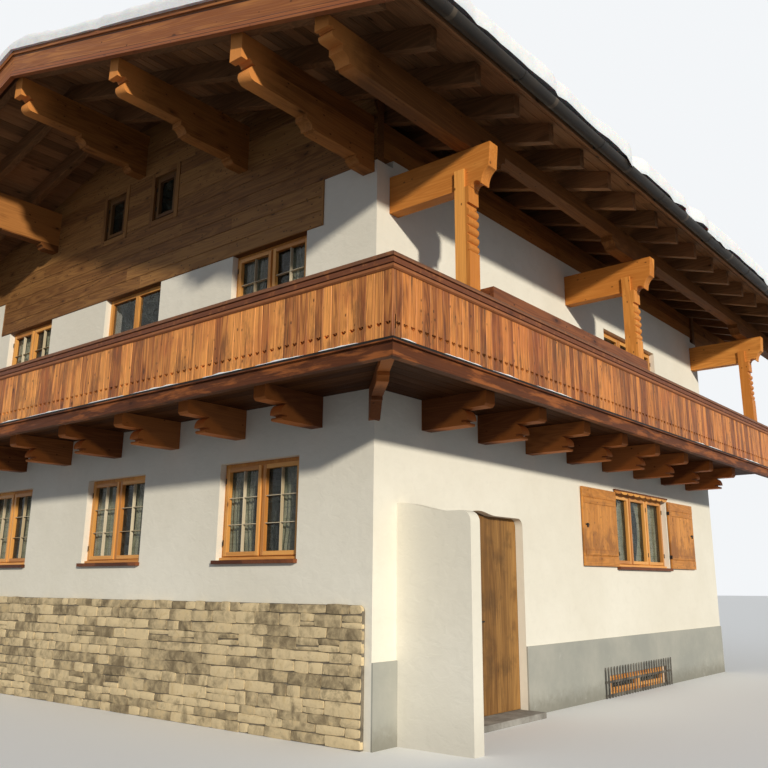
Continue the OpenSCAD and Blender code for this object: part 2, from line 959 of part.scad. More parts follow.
module gutters() {
    r = gutter_r;
    x = edge_x + r + 4;
    z = under(edge_x) + boards_off - 20;
    color(metal_col)
        both_sides() {
            upright(-verge_y, verge_y)
                translate([x, z])
                    difference() {
                        circle(r = r, $fn = 48);
                        circle(r = r - 5, $fn = 48);
                        rect(-r - 1, 0, r + 1, r + 1);
                    }
            for (y = [-verge_y, verge_y - 5])
                upright(y, y + 5)
                    translate([x, z])
                        difference() {
                            circle(r = r - 4, $fn = 48);
                            rect(-r, 0, r, r);
                        }
            for (y = gutter_places)
                upright(y - 15, y + 15)
                    translate([x, z])
                        difference() {
                            union() {
                                circle(r = r + 4, $fn = 48);
                                rect(-r - 4, -60, -r + 4, 10);
                            }
                            circle(r = r - 4, $fn = 48);
                            rect(-r - 5, 10, r + 10, r + 10);
                            rect(-r + 4, 0, r + 10, r + 10);
                        }
        }
}

// Balcony floor in three lengths: across the front gable and along each side
module balcony_floor() {
    d = parapet_out - parapet_t;
    color(parapet_col) {
        block(-hw - d, -hl - d, joist_top, hw + d, -hl, deck_top);
        both_sides()
            block(hw, -hl + mitre_gap, joist_top, hw + d, hl, deck_top);
    }
}

// Cantilever joist drawn outwards from the wall, with a shorter carved one under it
module joist_pair() {
    zm = joist_top - joist_h;
    zb = zm - corbel_h;
    x = joist_out - joist_cut;
    difference() {
        union() {
            rect(0, zm, joist_out, joist_top);
            rect(0, zb, corbel_out, zm + 1);
        }
        polygon([[joist_out + 1, zm - 1], [x, zm - 1], [joist_out + 1, zm + joist_cut]]);
        swelling_nose(corbel_out, zb, corbel_h);
    }
}

// Cuts the end of a timber whose lower outer corner is at [x, z] and whose depth is d to a
// swelling nose over a quirk and a bead
module swelling_nose(x, z, d) {
    back = x - d * swell_r;
    r = d * bead_r;
    difference() {
        rect(back, z - 1, x + 1, z + d);
        intersection() {
            translate([back, z + d * swell_z])
                circle(r = d * swell_r);
            rect(back - 1, z + d * quirk_z, x + 1, z + d + 1);
        }
        rect(back - 1, z, x - d * quirk_in, z + d * quirk_z + 1);
        rect(back - 1, z, x - 2 * r, z + 2 * r);
        translate([x - 2 * r, z + r])
            circle(r = r);
    }
}

// Diagonal bracket under a front corner of the balcony, in three tiers that step outwards. The
// lowest has a raking end under a fillet.
module corner_bracket() {
    zm = joist_top - joist_h;
    zb = zm - corbel_h;
    fillet = zm - corbel_h * corner_fillet;
    reach = (parapet_out - parapet_t - fascia_t) * sqrt(2) - corner_w / 2 - mitre_gap;
    difference() {
        union() {
            rect(-corner_w, joist_top - corner_top_h, reach, joist_top);
            rect(-corner_w, zm, corner_mid, joist_top);
            rect(-corner_w, zb, corner_low, zm + 1);
        }
        carved_nose(corner_mid, zm, joist_h - corner_top_h);
        polygon([
            [corner_low * rake_low, zb - 1], [corner_low + 1, zb - 1],
            [corner_low + 1, fillet], [corner_low * rake_high, fillet]
        ]);
    }
}

joist_count = floor((house_l - joist_first - joist_w / 2) / joist_gap);
front_joist_gap = (house_w - 2 * front_joist_in) / front_joist_bays;

module balcony_joists() {
    color(timber_col) {
        both_sides()
            for (i = [0 : joist_count])
                translate([hw, -hl + joist_first + i * joist_gap, 0])
                    upright(-joist_w / 2, joist_w / 2)
                        joist_pair();
        for (i = [0 : front_joist_bays])
            translate([-hw + front_joist_in + i * front_joist_gap, -hl, 0])
                rotate(-90)
                    upright(-joist_w / 2, joist_w / 2)
                        joist_pair();
        both_sides()
            translate([hw, -hl, 0])
                difference() {
                    rotate(-45)
                        translate([0, 0, -seat_gap])
                            upright(-corner_w / 2, corner_w / 2)
                                corner_bracket();
                    block(-house_w, 0, 0, 0, house_l, big);
                }
    }
}

// Carries a section, drawn outwards in X from the wall and up in Z, round the three sides of the
// balcony, with a mitre at each front corner
module round_balcony() {
    reach = balcony_d + 100;
    both_sides()
        difference() {
            translate([hw, hl, 0])
                rotate([90, 0, 0])
                    linear_extrude(house_l + reach)
                        children();
            translate([hw, -hl, 0])
                rotate(45)
                    block(-2 * reach, -2 * reach, 0, mitre_gap / 2, 2 * reach, big);
        }
    difference() {
        translate([hw + reach, -hl, 0])
            rotate([90, 0, -90])
                linear_extrude(2 * (hw + reach))
                    children();
        both_sides()
            translate([hw, -hl, 0])
                rotate(45)
                    block(-mitre_gap / 2, -2 * reach, 0, 2 * reach, 2 * reach, big);
    }
}

// Beam under the edge of the balcony with a projecting drip strip that the parapet boards stand on
module balcony_fascia() {
    boards = parapet_out - parapet_t;
    z0 = joist_top - fascia_h;
    z1 = parapet_z - drip_h;
    color(dark_timber_col)
        round_balcony()
            polygon([
                [boards - fascia_t, z0], [parapet_out - 5, z0],
                [parapet_out - 5, z1], [parapet_out + drip_out, z1],
                [parapet_out + drip_out, parapet_z], [boards, parapet_z],
                [boards, joist_top], [boards - fascia_t, joist_top]
            ]);
}

module parapet_front() {
    color(parapet_col)
        block(-hw - parapet_out, -hl - parapet_out, parapet_z,
              hw + parapet_out, -hl - parapet_out + parapet_t, rail_top - rail_h);
}

module side_parapet() {
    in = parapet_out - parapet_t;
    top = rail_top - rail_h;
    block(hw + in, -hl - in + mitre_gap, parapet_z, hw + parapet_out, hl, top);
    block(hw, hl - parapet_t, deck_top, hw + in - mitre_gap, hl, top);
}

module parapet_right() {
    color(parapet_col)
        side_parapet();
}

module parapet_left() {
    color(parapet_col)
        mirror([1, 0, 0])
            side_parapet();
}

// Moulded handrail in three lengths, with a short return at each rear end. Its face has a cap, a
// flat band and a lower moulding, with a groove between them.
module handrail() {
    in = parapet_out - parapet_t - rail_in;
    low = rail_top - rail_h;
    cap = rail_top - cap_h;
    band = cap - groove_h - band_h;
    bead = band - groove_h - bead_h;
    face = balcony_d - groove_in / 2;
    groove = face - groove_in;
    color(dark_timber_col) {
        round_balcony()
            polygon([
                [in, rail_top], [in, low], [parapet_out, low], [parapet_out, bead],
                [groove, bead], [face, bead + groove_in], [face, bead + bead_h],
                [groove, bead + bead_h], [groove, band], [face, band], [face, band + band_h],
                [groove, band + band_h], [groove, cap - groove_in / 2], [balcony_d, cap],
                [balcony_d, rail_top - groove_in / 2], [face, rail_top]
            ]);
        both_sides()
            block(hw, hl - rail_return, low, hw + in - mitre_gap, hl, rail_top);
    }
}

// Long timber flower box hung on the inner edge of the side rail, between the first two posts
module flower_box() {
    y0 = beam_places[0] + beam_w / 2 + box_gap;
    y1 = beam_places[1] - beam_w / 2 - cheek_t - box_gap;
    x1 = hw + parapet_out - parapet_t - rail_in;
    z0 = rail_top - rail_h;
    color(dark_timber_col)
        difference() {
            block(x1 - box_w, y0, z0, x1, y1, z0 + box_h);
            block(x1 - box_w + box_t, y0 + box_t, z0 + box_t, x1 - box_t, y1 - box_t, z0 + box_h + 1);
        }
}

// Frame with n lights, drawn about its middle from its sill
module frame_outline(w, h, n) {
    light = (w - frame_w * (n + 1)) / n;
    difference() {
        rect(-w / 2, 0, w / 2, h);
        for (i = [0 : n - 1])
            rect(-w / 2 + frame_w + i * (light + frame_w), frame_w,
                 -w / 2 + frame_w + i * (light + frame_w) + light, h - frame_w);
    }
}

module glass_outline(w, h, n) {
    light = (w - frame_w * (n + 1)) / n;
    for (i = [0 : n - 1])
        rect(-w / 2 + frame_w + i * (light + frame_w), frame_w,
             -w / 2 + frame_w + i * (light + frame_w) + light, h - frame_w);
}

// Places frames or glass in every window opening: inset is how deep the piece is, depth its thickness
module in_windows(extra, depth, glass) {
    in = reveal + extra;
    attic_in = attic_reveal + extra;
    for (win = front_windows)
        upright(-hl + in, -hl + in + depth)
            translate([win[0], win[2]])
                pick_outline(win[1], win[3] - win[2], 2, glass);
    for (win = rear_windows)
        upright(hl - in - depth, hl - in)
            translate([win[0], win[2]])
                pick_outline(win[1], win[3] - win[2], 2, glass);
    for (win = attic_windows) {
        upright(-hl + attic_in, -hl + attic_in + depth)
            translate([win[0], win[2]])
                pick_outline(win[1], win[3] - win[2], 1, glass);
        upright(hl - attic_in - depth, hl - attic_in)
            translate([win[0], win[2]])
                pick_outline(win[1], win[3] - win[2], 1, glass);
    }
    both_sides()
        for (win = long_windows)
            sideways(hw - in - depth, hw - in)
                translate([win[0], win[2]])
                    pick_outline(win[1], win[3] - win[2], 3, glass);
    sideways(hw - cellar_reveal - extra - depth, hw - cellar_reveal - extra)
        translate([cellar_y - hl, cellar_z])
            pick_outline(cellar_w, cellar_h, 2, glass);
}

module pick_outline(w, h, n, glass) {
    if (glass)
        glass_outline(w, h, n);
    else
        frame_outline(w, h, n);
}

module window_frames() {
    color(door_col)
        in_windows(0, frame_t, false);
}

module window_glass() {
    color(glass_col) {
        in_windows(frame_t / 2, glass_t, true);
        upright(-hl + reveal + frame_t / 2, -hl + reveal + frame_t / 2 + glass_t)
            balcony_door_lights();
    }
}

module balcony_door_lights() {
    for (s = [-1, 1])
        translate([s * win_w / 4, deck_top])
            rect(-win_w / 4 + frame_w * (s > 0 ? meet_stile : 1), door_panel_h,
                 win_w / 4 - frame_w * (s > 0 ? 1 : meet_stile), clad_z - deck_top - frame_w);
}

// Double balcony door in the middle of the front gable, shut
module balcony_door() {
    color(door_col)
        upright(-hl + reveal, -hl + reveal + frame_t)
            difference() {
                rect(-win_w / 2, deck_top, win_w / 2, clad_z);
                balcony_door_lights();
            }
}

module window_sills() {
    color(dark_timber_col) {
        both_sides()
            for (win = long_windows)
                block(hw, win[0] - win[1] / 2 - sill_side, win[2] - sill_h,
                      hw + sill_out, win[0] + win[1] / 2 + sill_side, win[2]);
        for (win = front_windows)
            block(win[0] - win[1] / 2 - sill_side, -hl - sill_out, win[2] - sill_h,
                  win[0] + win[1] / 2 + sill_side, -hl, win[2]);
        for (win = rear_windows)
            block(win[0] - win[1] / 2 - sill_side, hl, win[2] - sill_h,
                  win[0] + win[1] / 2 + sill_side, hl + sill_out, win[2]);
    }
}

// Shutter leaves that stand open against the long walls, on short stays
module shutters() {
    color(door_col)
        both_sides()
            for (s = [-1, 1]) {
                y = long_mid + s * (long_win_w / 2 + shutter_side + shutter_w / 2);
                stay = y - s * (shutter_w / 2 - stay_in - stay_w / 2);
                low = low_sill - 5;
                high = low_head - 20;
                block(hw + shutter_gap, y - shutter_w / 2, low,
                      hw + shutter_gap + shutter_t, y + shutter_w / 2, high);
                for (z = [low + shutter_w / 6, high - shutter_w / 6 - stay_w])
                    block(hw, stay - stay_w / 2, z, hw + shutter_gap + 1, stay + stay_w / 2, z + stay_w);
            }
}

// Iron grille in front of the cellar window: two rails on the plinth and pointed pickets before them
module cellar_grille() {
    mid = cellar_y - hl;
    pitch = (grille_w - picket_w) / (picket_count - 1);
    x = hw + plinth_t;
    color(metal_col) {
        for (i = [0 : picket_count - 1])
            translate([x + rail_bar + seat_gap, mid + (i - (picket_count - 1) / 2) * pitch, 0])
                sideways(0, picket_w)
                    polygon([
                        [-picket_w / 2, 0], [picket_w / 2, 0], [picket_w / 2, picket_h - 30],
                        [0, picket_h], [-picket_w / 2, picket_h - 30]
                    ]);
        for (z = [rail_low, rail_high])
            block(x, mid - grille_w / 2, z, x + rail_bar, mid + grille_w / 2, z + 2 * rail_bar);
    }
}

ground_floor();
upper_floor();
attic_floor();
front_wall();
rear_wall();
left_wall();
right_wall_corner();
right_wall_over_door();
right_wall();
stone_base();
plinth();
wing_wall();
door_step();
door_leaf_near();
door_leaf_far();
door_pintles();
front_gable();
rear_gable();
ridge_purlin();
middle_purlins();
wall_plates();
eave_purlins();
purlin_corbels();
bracket_beams();
posts();
rafters();
roof_boards();
roof_cover();
barge_boards();
eave_boards();
gutters();
balcony_floor();
balcony_joists();
balcony_fascia();
parapet_front();
parapet_right();
parapet_left();
handrail();
flower_box();
balcony_door();
window_frames();
window_glass();
window_sills();
shutters();
cellar_grille();
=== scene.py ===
import math
import random

import bpy
import bmesh
import numpy as np
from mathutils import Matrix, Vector, noise
from mathutils.geometry import tessellate_polygon


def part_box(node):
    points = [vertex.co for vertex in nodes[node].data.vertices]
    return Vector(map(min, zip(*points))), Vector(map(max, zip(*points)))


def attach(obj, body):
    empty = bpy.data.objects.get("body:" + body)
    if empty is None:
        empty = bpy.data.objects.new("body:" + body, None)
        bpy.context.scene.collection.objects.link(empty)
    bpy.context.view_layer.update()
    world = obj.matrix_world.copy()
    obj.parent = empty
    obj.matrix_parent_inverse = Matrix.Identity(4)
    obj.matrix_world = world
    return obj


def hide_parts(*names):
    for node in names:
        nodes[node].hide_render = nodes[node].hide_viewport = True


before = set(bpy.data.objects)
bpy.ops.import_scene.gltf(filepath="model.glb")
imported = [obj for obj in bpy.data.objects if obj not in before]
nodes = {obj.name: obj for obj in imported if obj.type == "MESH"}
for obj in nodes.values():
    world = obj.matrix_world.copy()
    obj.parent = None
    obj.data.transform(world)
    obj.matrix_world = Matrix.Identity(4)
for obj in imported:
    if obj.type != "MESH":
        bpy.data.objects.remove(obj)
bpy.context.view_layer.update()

print("frame:", len(nodes), "solids")

# camera, light and floor

view = {
    "place": (10.770, -12.112, 1.621),
    "turn": (104.945, -0.160, 38.582),   # degrees about X, Y and Z
    "lens": 39.76,
    "sensor": 36,
    "shift": (-0.0250, -0.0357),
    "reach": 300,
}
lamps = {
    "sunFrom": (1.0, -0.62, 0.32),
    "sunPower": 3.3,
    "sunColour": (1.0, 0.93, 0.80),
    "sunSpread": 2.6,                    # degrees, a fairly soft lamp
    "skyPower": 0.34,
    "skyColour": (0.81, 0.91, 1.06),
    "backdrop": (0.90, 0.92, 0.94),
    "floor": (0.96, 0.96, 0.95),         # as the camera sees it
    "floorBounce": (0.26, 0.27, 0.29),   # as it lights the house from below
    "floorRadius": 120,
    "floorSides": 96,
}
scene = bpy.context.scene


class Flow:                              # one socket of a material, for sums on values
    def __init__(self, look, socket):
        self.look = look
        self.socket = socket

    def calc(self, operation, *others):
        return self.look.calc(operation, self, *others)

    def __add__(self, other):
        return self.calc("ADD", other)

    def __sub__(self, other):
        return self.calc("SUBTRACT", other)

    def __rsub__(self, other):
        return self.look.calc("SUBTRACT", other, self)

    def __mul__(self, other):
        return self.calc("MULTIPLY", other)

    def __truediv__(self, other):
        return self.calc("DIVIDE", other)

    def __rtruediv__(self, other):
        return self.look.calc("DIVIDE", other, self)

    def __gt__(self, other):
        return self.calc("GREATER_THAN", other)

    def __abs__(self):
        return self.calc("ABSOLUTE")

    __radd__ = __add__
    __rmul__ = __mul__


class Look:                              # a material or the world, and the few ways that its nodes are added
    def __init__(self, name, kind="Material"):
        home = bpy.data.materials if kind == "Material" else bpy.data.worlds
        self.made = home.new(name)
        self.made.use_nodes = True
        self.tree = self.made.node_tree
        self.tree.nodes.clear()
        self.output = self.tree.nodes.new("ShaderNodeOutput" + kind)

    def node(self, kind, settings=None, values=None, out=0):
        made = self.tree.nodes.new(kind)
        for key, value in (settings or {}).items():
            setattr(made, key, value)
        for key, value in (values or {}).items():
            self.feed(made.inputs[key], value)
        return Flow(self, made.outputs[out])

    def feed(self, socket, value):
        if isinstance(value, Flow):
            self.tree.links.new(value.socket, socket)
        else:
            socket.default_value = (*value, 1) if socket.type == "RGBA" else value

    def calc(self, operation, *values):
        return self.node("ShaderNodeMath", {"operation": operation}, dict(enumerate(values)))

    def mix(self, factor, first, second):
        return self.node("ShaderNodeMix", {"data_type": "RGBA"}, {0: factor, 6: first, 7: second}, out=2)

    # each coat has a value, where it begins and where it is full, its strength and its colour
    def coats(self, colour, *coats):
        for value, begin, full, strength, paint in coats:
            colour = self.mix(self.between(value, begin, full) * strength, colour, paint)
        return colour

    def vector(self, operation, first, second):
        return self.node("ShaderNodeVectorMath", {"operation": operation}, {0: first, 1: second})

    def stretch(self, vector, *by):
        return self.vector("MULTIPLY", vector, by)

    def cloud(self, vector, scale, detail, rough, bend=0.0):
        return self.node("ShaderNodeTexNoise", None, {
            "Vector": vector, "Scale": scale, "Detail": detail, "Roughness": rough, "Distortion": bend})

    def cells(self, vector):             # distance to a cell's middle, and a number of the cell's own
        near = self.node("ShaderNodeTexVoronoi", None, {"Vector": vector, "Scale": 1.0})
        colour = Flow(self, near.socket.node.outputs["Color"])
        return near, self.split(colour)[0]

    def between(self, value, low, high, first=0.0, second=1.0):
        return self.node("ShaderNodeMapRange", {"interpolation_type": "SMOOTHSTEP"},
                         {0: value, 1: low, 2: high, 3: first, 4: second})

    def place(self):
        return self.node("ShaderNodeTexCoord", out="Object")

    def split(self, vector):
        made = self.node("ShaderNodeSeparateXYZ", None, {0: vector})
        return [Flow(self, socket) for socket in made.socket.node.outputs]

    def join(self, x, y, z):
        return self.node("ShaderNodeCombineXYZ", None, {0: x, 1: y, 2: z})

    def mark(self, name, out):           # what the mesh carries at its points
        return self.node("ShaderNodeAttribute", {"attribute_name": name}, None, out)

    def seen(self):                      # 1 where the camera looks, also by a reflection or through a pane
        rays = ("Is Camera Ray", "Is Glossy Ray", "Is Transmission Ray")
        straight, mirrored, through = [self.node("ShaderNodeLightPath", out=ray) for ray in rays]
        return straight.calc("MAXIMUM", mirrored.calc("MAXIMUM", through))

    def bump(self, height, distance, strength):
        return self.node("ShaderNodeBump", None, {
            "Height": height, "Distance": distance, "Strength": strength})

    def finish(self, **values):          # baseColor feeds the socket Base Color, and so on
        named = {}
        for key, value in values.items():
            words = "".join(" " + letter if letter.isupper() else letter for letter in key).title()
            named[words.replace("Ior", "IOR")] = value
        shader = self.node("ShaderNodeBsdfPrincipled", None, named)
        self.feed(self.output.inputs[0], shader)
        return self.made


def addObject(name, data):
    made = bpy.data.objects.new(name, data)
    scene.collection.objects.link(made)
    return made


def placeCamera():
    camera = addObject("camera", bpy.data.cameras.new("camera"))
    camera.location = view["place"]
    camera.rotation_euler = [math.radians(angle) for angle in view["turn"]]
    camera.data.lens = view["lens"]
    camera.data.sensor_width = view["sensor"]
    camera.data.shift_x, camera.data.shift_y = view["shift"]
    camera.data.clip_end = view["reach"]
    scene.camera = camera
    scene.view_settings.view_transform = "Standard"


def placeLamps():
    sun = addObject("sun", bpy.data.lights.new("sun", "SUN"))
    sun.rotation_euler = Vector(lamps["sunFrom"]).to_track_quat("Z", "Y").to_euler()
    sun.data.energy = lamps["sunPower"]
    sun.data.color = lamps["sunColour"]
    sun.data.angle = math.radians(lamps["sunSpread"])
    sky = Look("sky", "World")
    light = sky.node("ShaderNodeBackground", None, {0: lamps["skyColour"], 1: lamps["skyPower"]})
    pale = sky.node("ShaderNodeBackground", None, {0: lamps["backdrop"]})
    sky.feed(sky.output.inputs[0], sky.node("ShaderNodeMixShader", None, {0: sky.seen(), 1: light, 2: pale}))
    scene.world = sky.made


def placeFloor():
    sides, radius = lamps["floorSides"], lamps["floorRadius"]
    angles = [2 * math.pi * i / sides for i in range(sides)]
    mesh = bpy.data.meshes.new("floor")
    ring = [(radius * math.cos(angle), radius * math.sin(angle), 0) for angle in angles]
    mesh.from_pydata(ring, [], [list(range(sides))])
    look = Look("paleFloor")
    colour = look.mix(look.seen(), lamps["floorBounce"], lamps["floor"])
    mesh.materials.append(look.finish(baseColor=colour, roughness=0.9))
    addObject("floor", mesh)


placeCamera()
placeLamps()
placeFloor()
print("camera and lamps placed")

# meshes

up = (0, 0, 1)
alongX, alongY = (1, 0, 0), (0, 1, 0)
boxSigns = [(x, y, z) for x in (-1, 1) for y in (-1, 1) for z in (-1, 1)]


def boxFaces():                          # a chamfered box has three points at each corner, one for each axis
    index = {(signs, axis): 3 * c + axis for c, signs in enumerate(boxSigns) for axis in range(3)}
    faces = []
    for axis in range(3):
        second, third = (axis + 1) % 3, (axis + 2) % 3

        def point(*signs, on):
            corner = dict(zip((axis, second, third), signs))
            return index[tuple(corner[i] for i in range(3)), on]

        for sign in (-1, 1):
            faces.append([point(sign, b, c, on=axis) for b, c in ((-1, -1), (1, -1), (1, 1), (-1, 1))])
        for b in (-1, 1):                # the chamfers that run along this axis
            for c in (-1, 1):
                faces.append([point(-1, b, c, on=second), point(-1, b, c, on=third),
                              point(1, b, c, on=third), point(1, b, c, on=second)])
    return faces + [[index[signs, axis] for axis in range(3)] for signs in boxSigns]


chamferFaces = boxFaces()


def band(first, second):                 # faces between two rings of points
    return [[a, b, d, c] for a, b, c, d in zip(first, first[1:] + first[:1], second, second[1:] + second[:1])]


def gridFaces(across, rows):             # a sheet of points, row by row
    corners = [row * across + i for row in range(rows - 1) for i in range(across - 1)]
    return [[k, k + 1, k + across + 1, k + across] for k in corners]


def gridRim(across, rows):               # the sheet's outline, once round
    left = [row * across for row in range(rows)]
    right = [k + across - 1 for k in left]
    return list(range(across)) + right[1:] + list(range(right[-1] - 1, left[-1] - 1, -1)) + left[-2:0:-1]


class Pile:                              # boards and blocks gathered into one mesh
    def __init__(self, seed=1):
        self.points, self.faces, self.grain, self.tone = [], [], [], []
        self.count = 0
        self.dice = random.Random(seed)

    def add(self, points, faces, along=alongX, tone=None):
        points = np.asarray(points, float)
        first = Vector(along).normalized()
        second = first.cross(Vector(up if abs(first.z) < 0.9 else alongY)).normalized()
        turned = points @ np.array([first, second, first.cross(second)]).T
        self.points.append(points)
        self.grain.append(turned + np.array([self.dice.uniform(0, 90) for _ in range(3)]))
        self.tone.append(np.full(len(points), self.dice.random() if tone is None else tone))
        self.faces += [[i + self.count for i in face] for face in faces]
        self.count += len(points)

    def box(self, low, high, chamfer, along=None, tone=None):
        low, high = np.array(low, float), np.array(high, float)
        half = (high - low) / 2
        cut = min(chamfer, half.min() * 0.45)
        points = []
        for signs in boxSigns:
            for axis in range(3):
                inset = np.full(3, cut)
                inset[axis] = 0
                points.append((low + high) / 2 + np.array(signs) * (half - inset))
        along = along or (alongX, alongY, up)[int(half.argmax())]
        self.add(points, chamferFaces, along, tone)

    def slab(self, place, a, z, depth, chamfer=0.003, **more):           # spans along a wall, up, across it
        ends = np.array([place(*corner) for corner in zip(a, z, depth)])
        self.box(ends.min(axis=0), ends.max(axis=0), chamfer, **more)

    # place turns a point of the outline and a depth into a point of the house;
    # levels give depths with outlines of their own, where a board narrows to its face
    def prism(self, outline, place, holes=(), along=alongX, levels=None):
        rings = [list(outline), *holes]
        flat = [point for ring in rings for point in ring]
        count = len(flat)
        levels = levels or [(0.0, flat), (1.0, flat)]
        last = count * (len(levels) - 1)
        caps = tessellate_polygon([[Vector((a, b, 0)) for a, b in ring] for ring in rings])
        points = [place(a, b, depth) for depth, level in levels for a, b in level]
        faces = [list(cap) for cap in caps] + [[i + last for i in cap][::-1] for cap in caps]
        for start in range(0, last, count):
            for ring in rings:
                lower = list(range(start, start + len(ring)))
                faces += band(lower, [i + count for i in lower])
                start += len(ring)
        self.add(points, faces, along)

    def piece(self, name, material, slot, body="root", replaces=(), smooth=None):
        mesh = bpy.data.meshes.new(name)
        mesh.from_pydata(np.concatenate(self.points).tolist(), [], self.faces)
        grain = mesh.attributes.new("grain", "FLOAT_VECTOR", "POINT")
        grain.data.foreach_set("vector", np.concatenate(self.grain).astype(np.float32).ravel())
        tone = mesh.attributes.new("tone", "FLOAT", "POINT")
        tone.data.foreach_set("value", np.concatenate(self.tone).astype(np.float32))
        work = bmesh.new()
        work.from_mesh(mesh)
        bmesh.ops.recalc_face_normals(work, faces=work.faces)
        work.to_mesh(mesh)
        work.free()
        mesh.materials.append(material)
        made = addObject(name, mesh)
        if smooth:
            for polygon in mesh.polygons:
                polygon.use_smooth = True
            mesh.set_sharp_from_angle(angle=math.radians(smooth))
        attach(made, body)
        if replaces:
            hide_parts(*replaces)
        print("piece:", name, sum(len(face) - 2 for face in self.faces), "triangles")
        return made


house = {
    "halfWidth": 4.83, "halfLength": 5.18,                       # of the walls
    "plateX": 4.70, "rafterFoot": 7.08, "pitch": 0.295,          # underside of the rafters, over the plates
    "bargeTop": 0.38,                                            # of the barge boards, above that underside
}
halfWidth, halfLength = house["halfWidth"], house["halfLength"]


def under(x):                            # underside of the rafters
    return house["rafterFoot"] + (house["plateX"] - abs(x)) * house["pitch"]


def wallPlace(axis, sign, mid=0.0):      # from a place along a wall, a height and a depth into it
    if axis == "x":
        return lambda a, z, depth: (sign * (halfWidth - depth), mid + a, z)
    return lambda a, z, depth: (mid + a, sign * (halfLength - depth), z)


# finishes

timbers = {                              # pale tone, deep tone
    "carved": ((0.92, 0.41, 0.095), (0.54, 0.19, 0.034)),
    # purlin: the wood's own brown, darkened further as painted shade under the roof
    "purlin": ((0.42, 0.172, 0.047), (0.15, 0.055, 0.016)),
    # roof: the boards' own brown, darkened further as painted shade under the eaves
    "roof": ((0.34, 0.165, 0.073), (0.13, 0.064, 0.028)),
    "gable": ((0.37, 0.185, 0.060), (0.145, 0.060, 0.020)),
    "parapet": ((0.69, 0.255, 0.062), (0.17, 0.048, 0.014)),
    # a paler copy of the parapet timber, as painted sunlight on the front boards
    "sunlitParapet": ((0.90, 0.37, 0.096), (0.27, 0.084, 0.025)),
    "rail": ((0.22, 0.070, 0.025), (0.070, 0.021, 0.009)),
    "box": ((0.36, 0.125, 0.042), (0.12, 0.038, 0.015)),
    "joist": ((0.38, 0.14, 0.044), (0.14, 0.045, 0.016)),
    # deck: far darker than the boards' own colour, as painted shade under the balcony
    "deck": ((0.085, 0.032, 0.011), (0.038, 0.013, 0.005)),
    "barge": ((0.56, 0.23, 0.066), (0.26, 0.085, 0.024)),
    "door": ((0.41, 0.215, 0.066), (0.155, 0.072, 0.022)),
    "joinery": ((0.78, 0.38, 0.10), (0.48, 0.19, 0.042)),
    "paleBar": ((0.68, 0.60, 0.44), (0.46, 0.36, 0.22)),
    "shutter": ((0.74, 0.325, 0.078), (0.44, 0.170, 0.034)),
    "floor": ((0.50, 0.33, 0.18), (0.30, 0.18, 0.09)),
}


def darker(colour, share):
    return [c * share for c in colour]


# run says which way the timber lies: mesh where the piece carries it, x, y or z, slope along the barge
# boards, round along the balcony's edge, beams across it
def grainOf(look, run):
    if run == "mesh":
        return look.mark("grain", "Vector"), look.mark("tone", "Fac")
    x, y, z = look.split(look.place())
    if run == "x":
        vector, step = look.join(x, y, z), y * 1.3 + z * 0.9
    elif run == "y":
        vector, step = look.join(y, x, z), x * 1.3 + z * 0.7
    elif run == "z":
        vector, step = look.join(z, x, y), x * 2.1 + y * 1.7
    elif run == "slope":
        vector, step = look.join(x, y, z + abs(x) * house["pitch"]), y * 0.1
    elif run == "round":
        side = abs(x) - halfWidth - (-halfLength - y) > 0.0
        vector, step = look.mix(side, look.join(x, y, z), look.join(y, x, z)), side * 3.1 + z * 0.2
    else:
        side = abs(x) > halfWidth + 0.01
        vector = look.mix(side, look.join(y, x, z), look.join(x, y, z))
        step = side * y * 0.85 + (1 - side) * x * 0.72 + z * 0.5
    tone = look.node("ShaderNodeTexWhiteNoise", {"noise_dimensions": "1D"}, {"W": look.calc("FLOOR", step)})
    return look.vector("ADD", vector, look.join(tone * 7.0, tone * 11.0, tone * 5.0)), tone


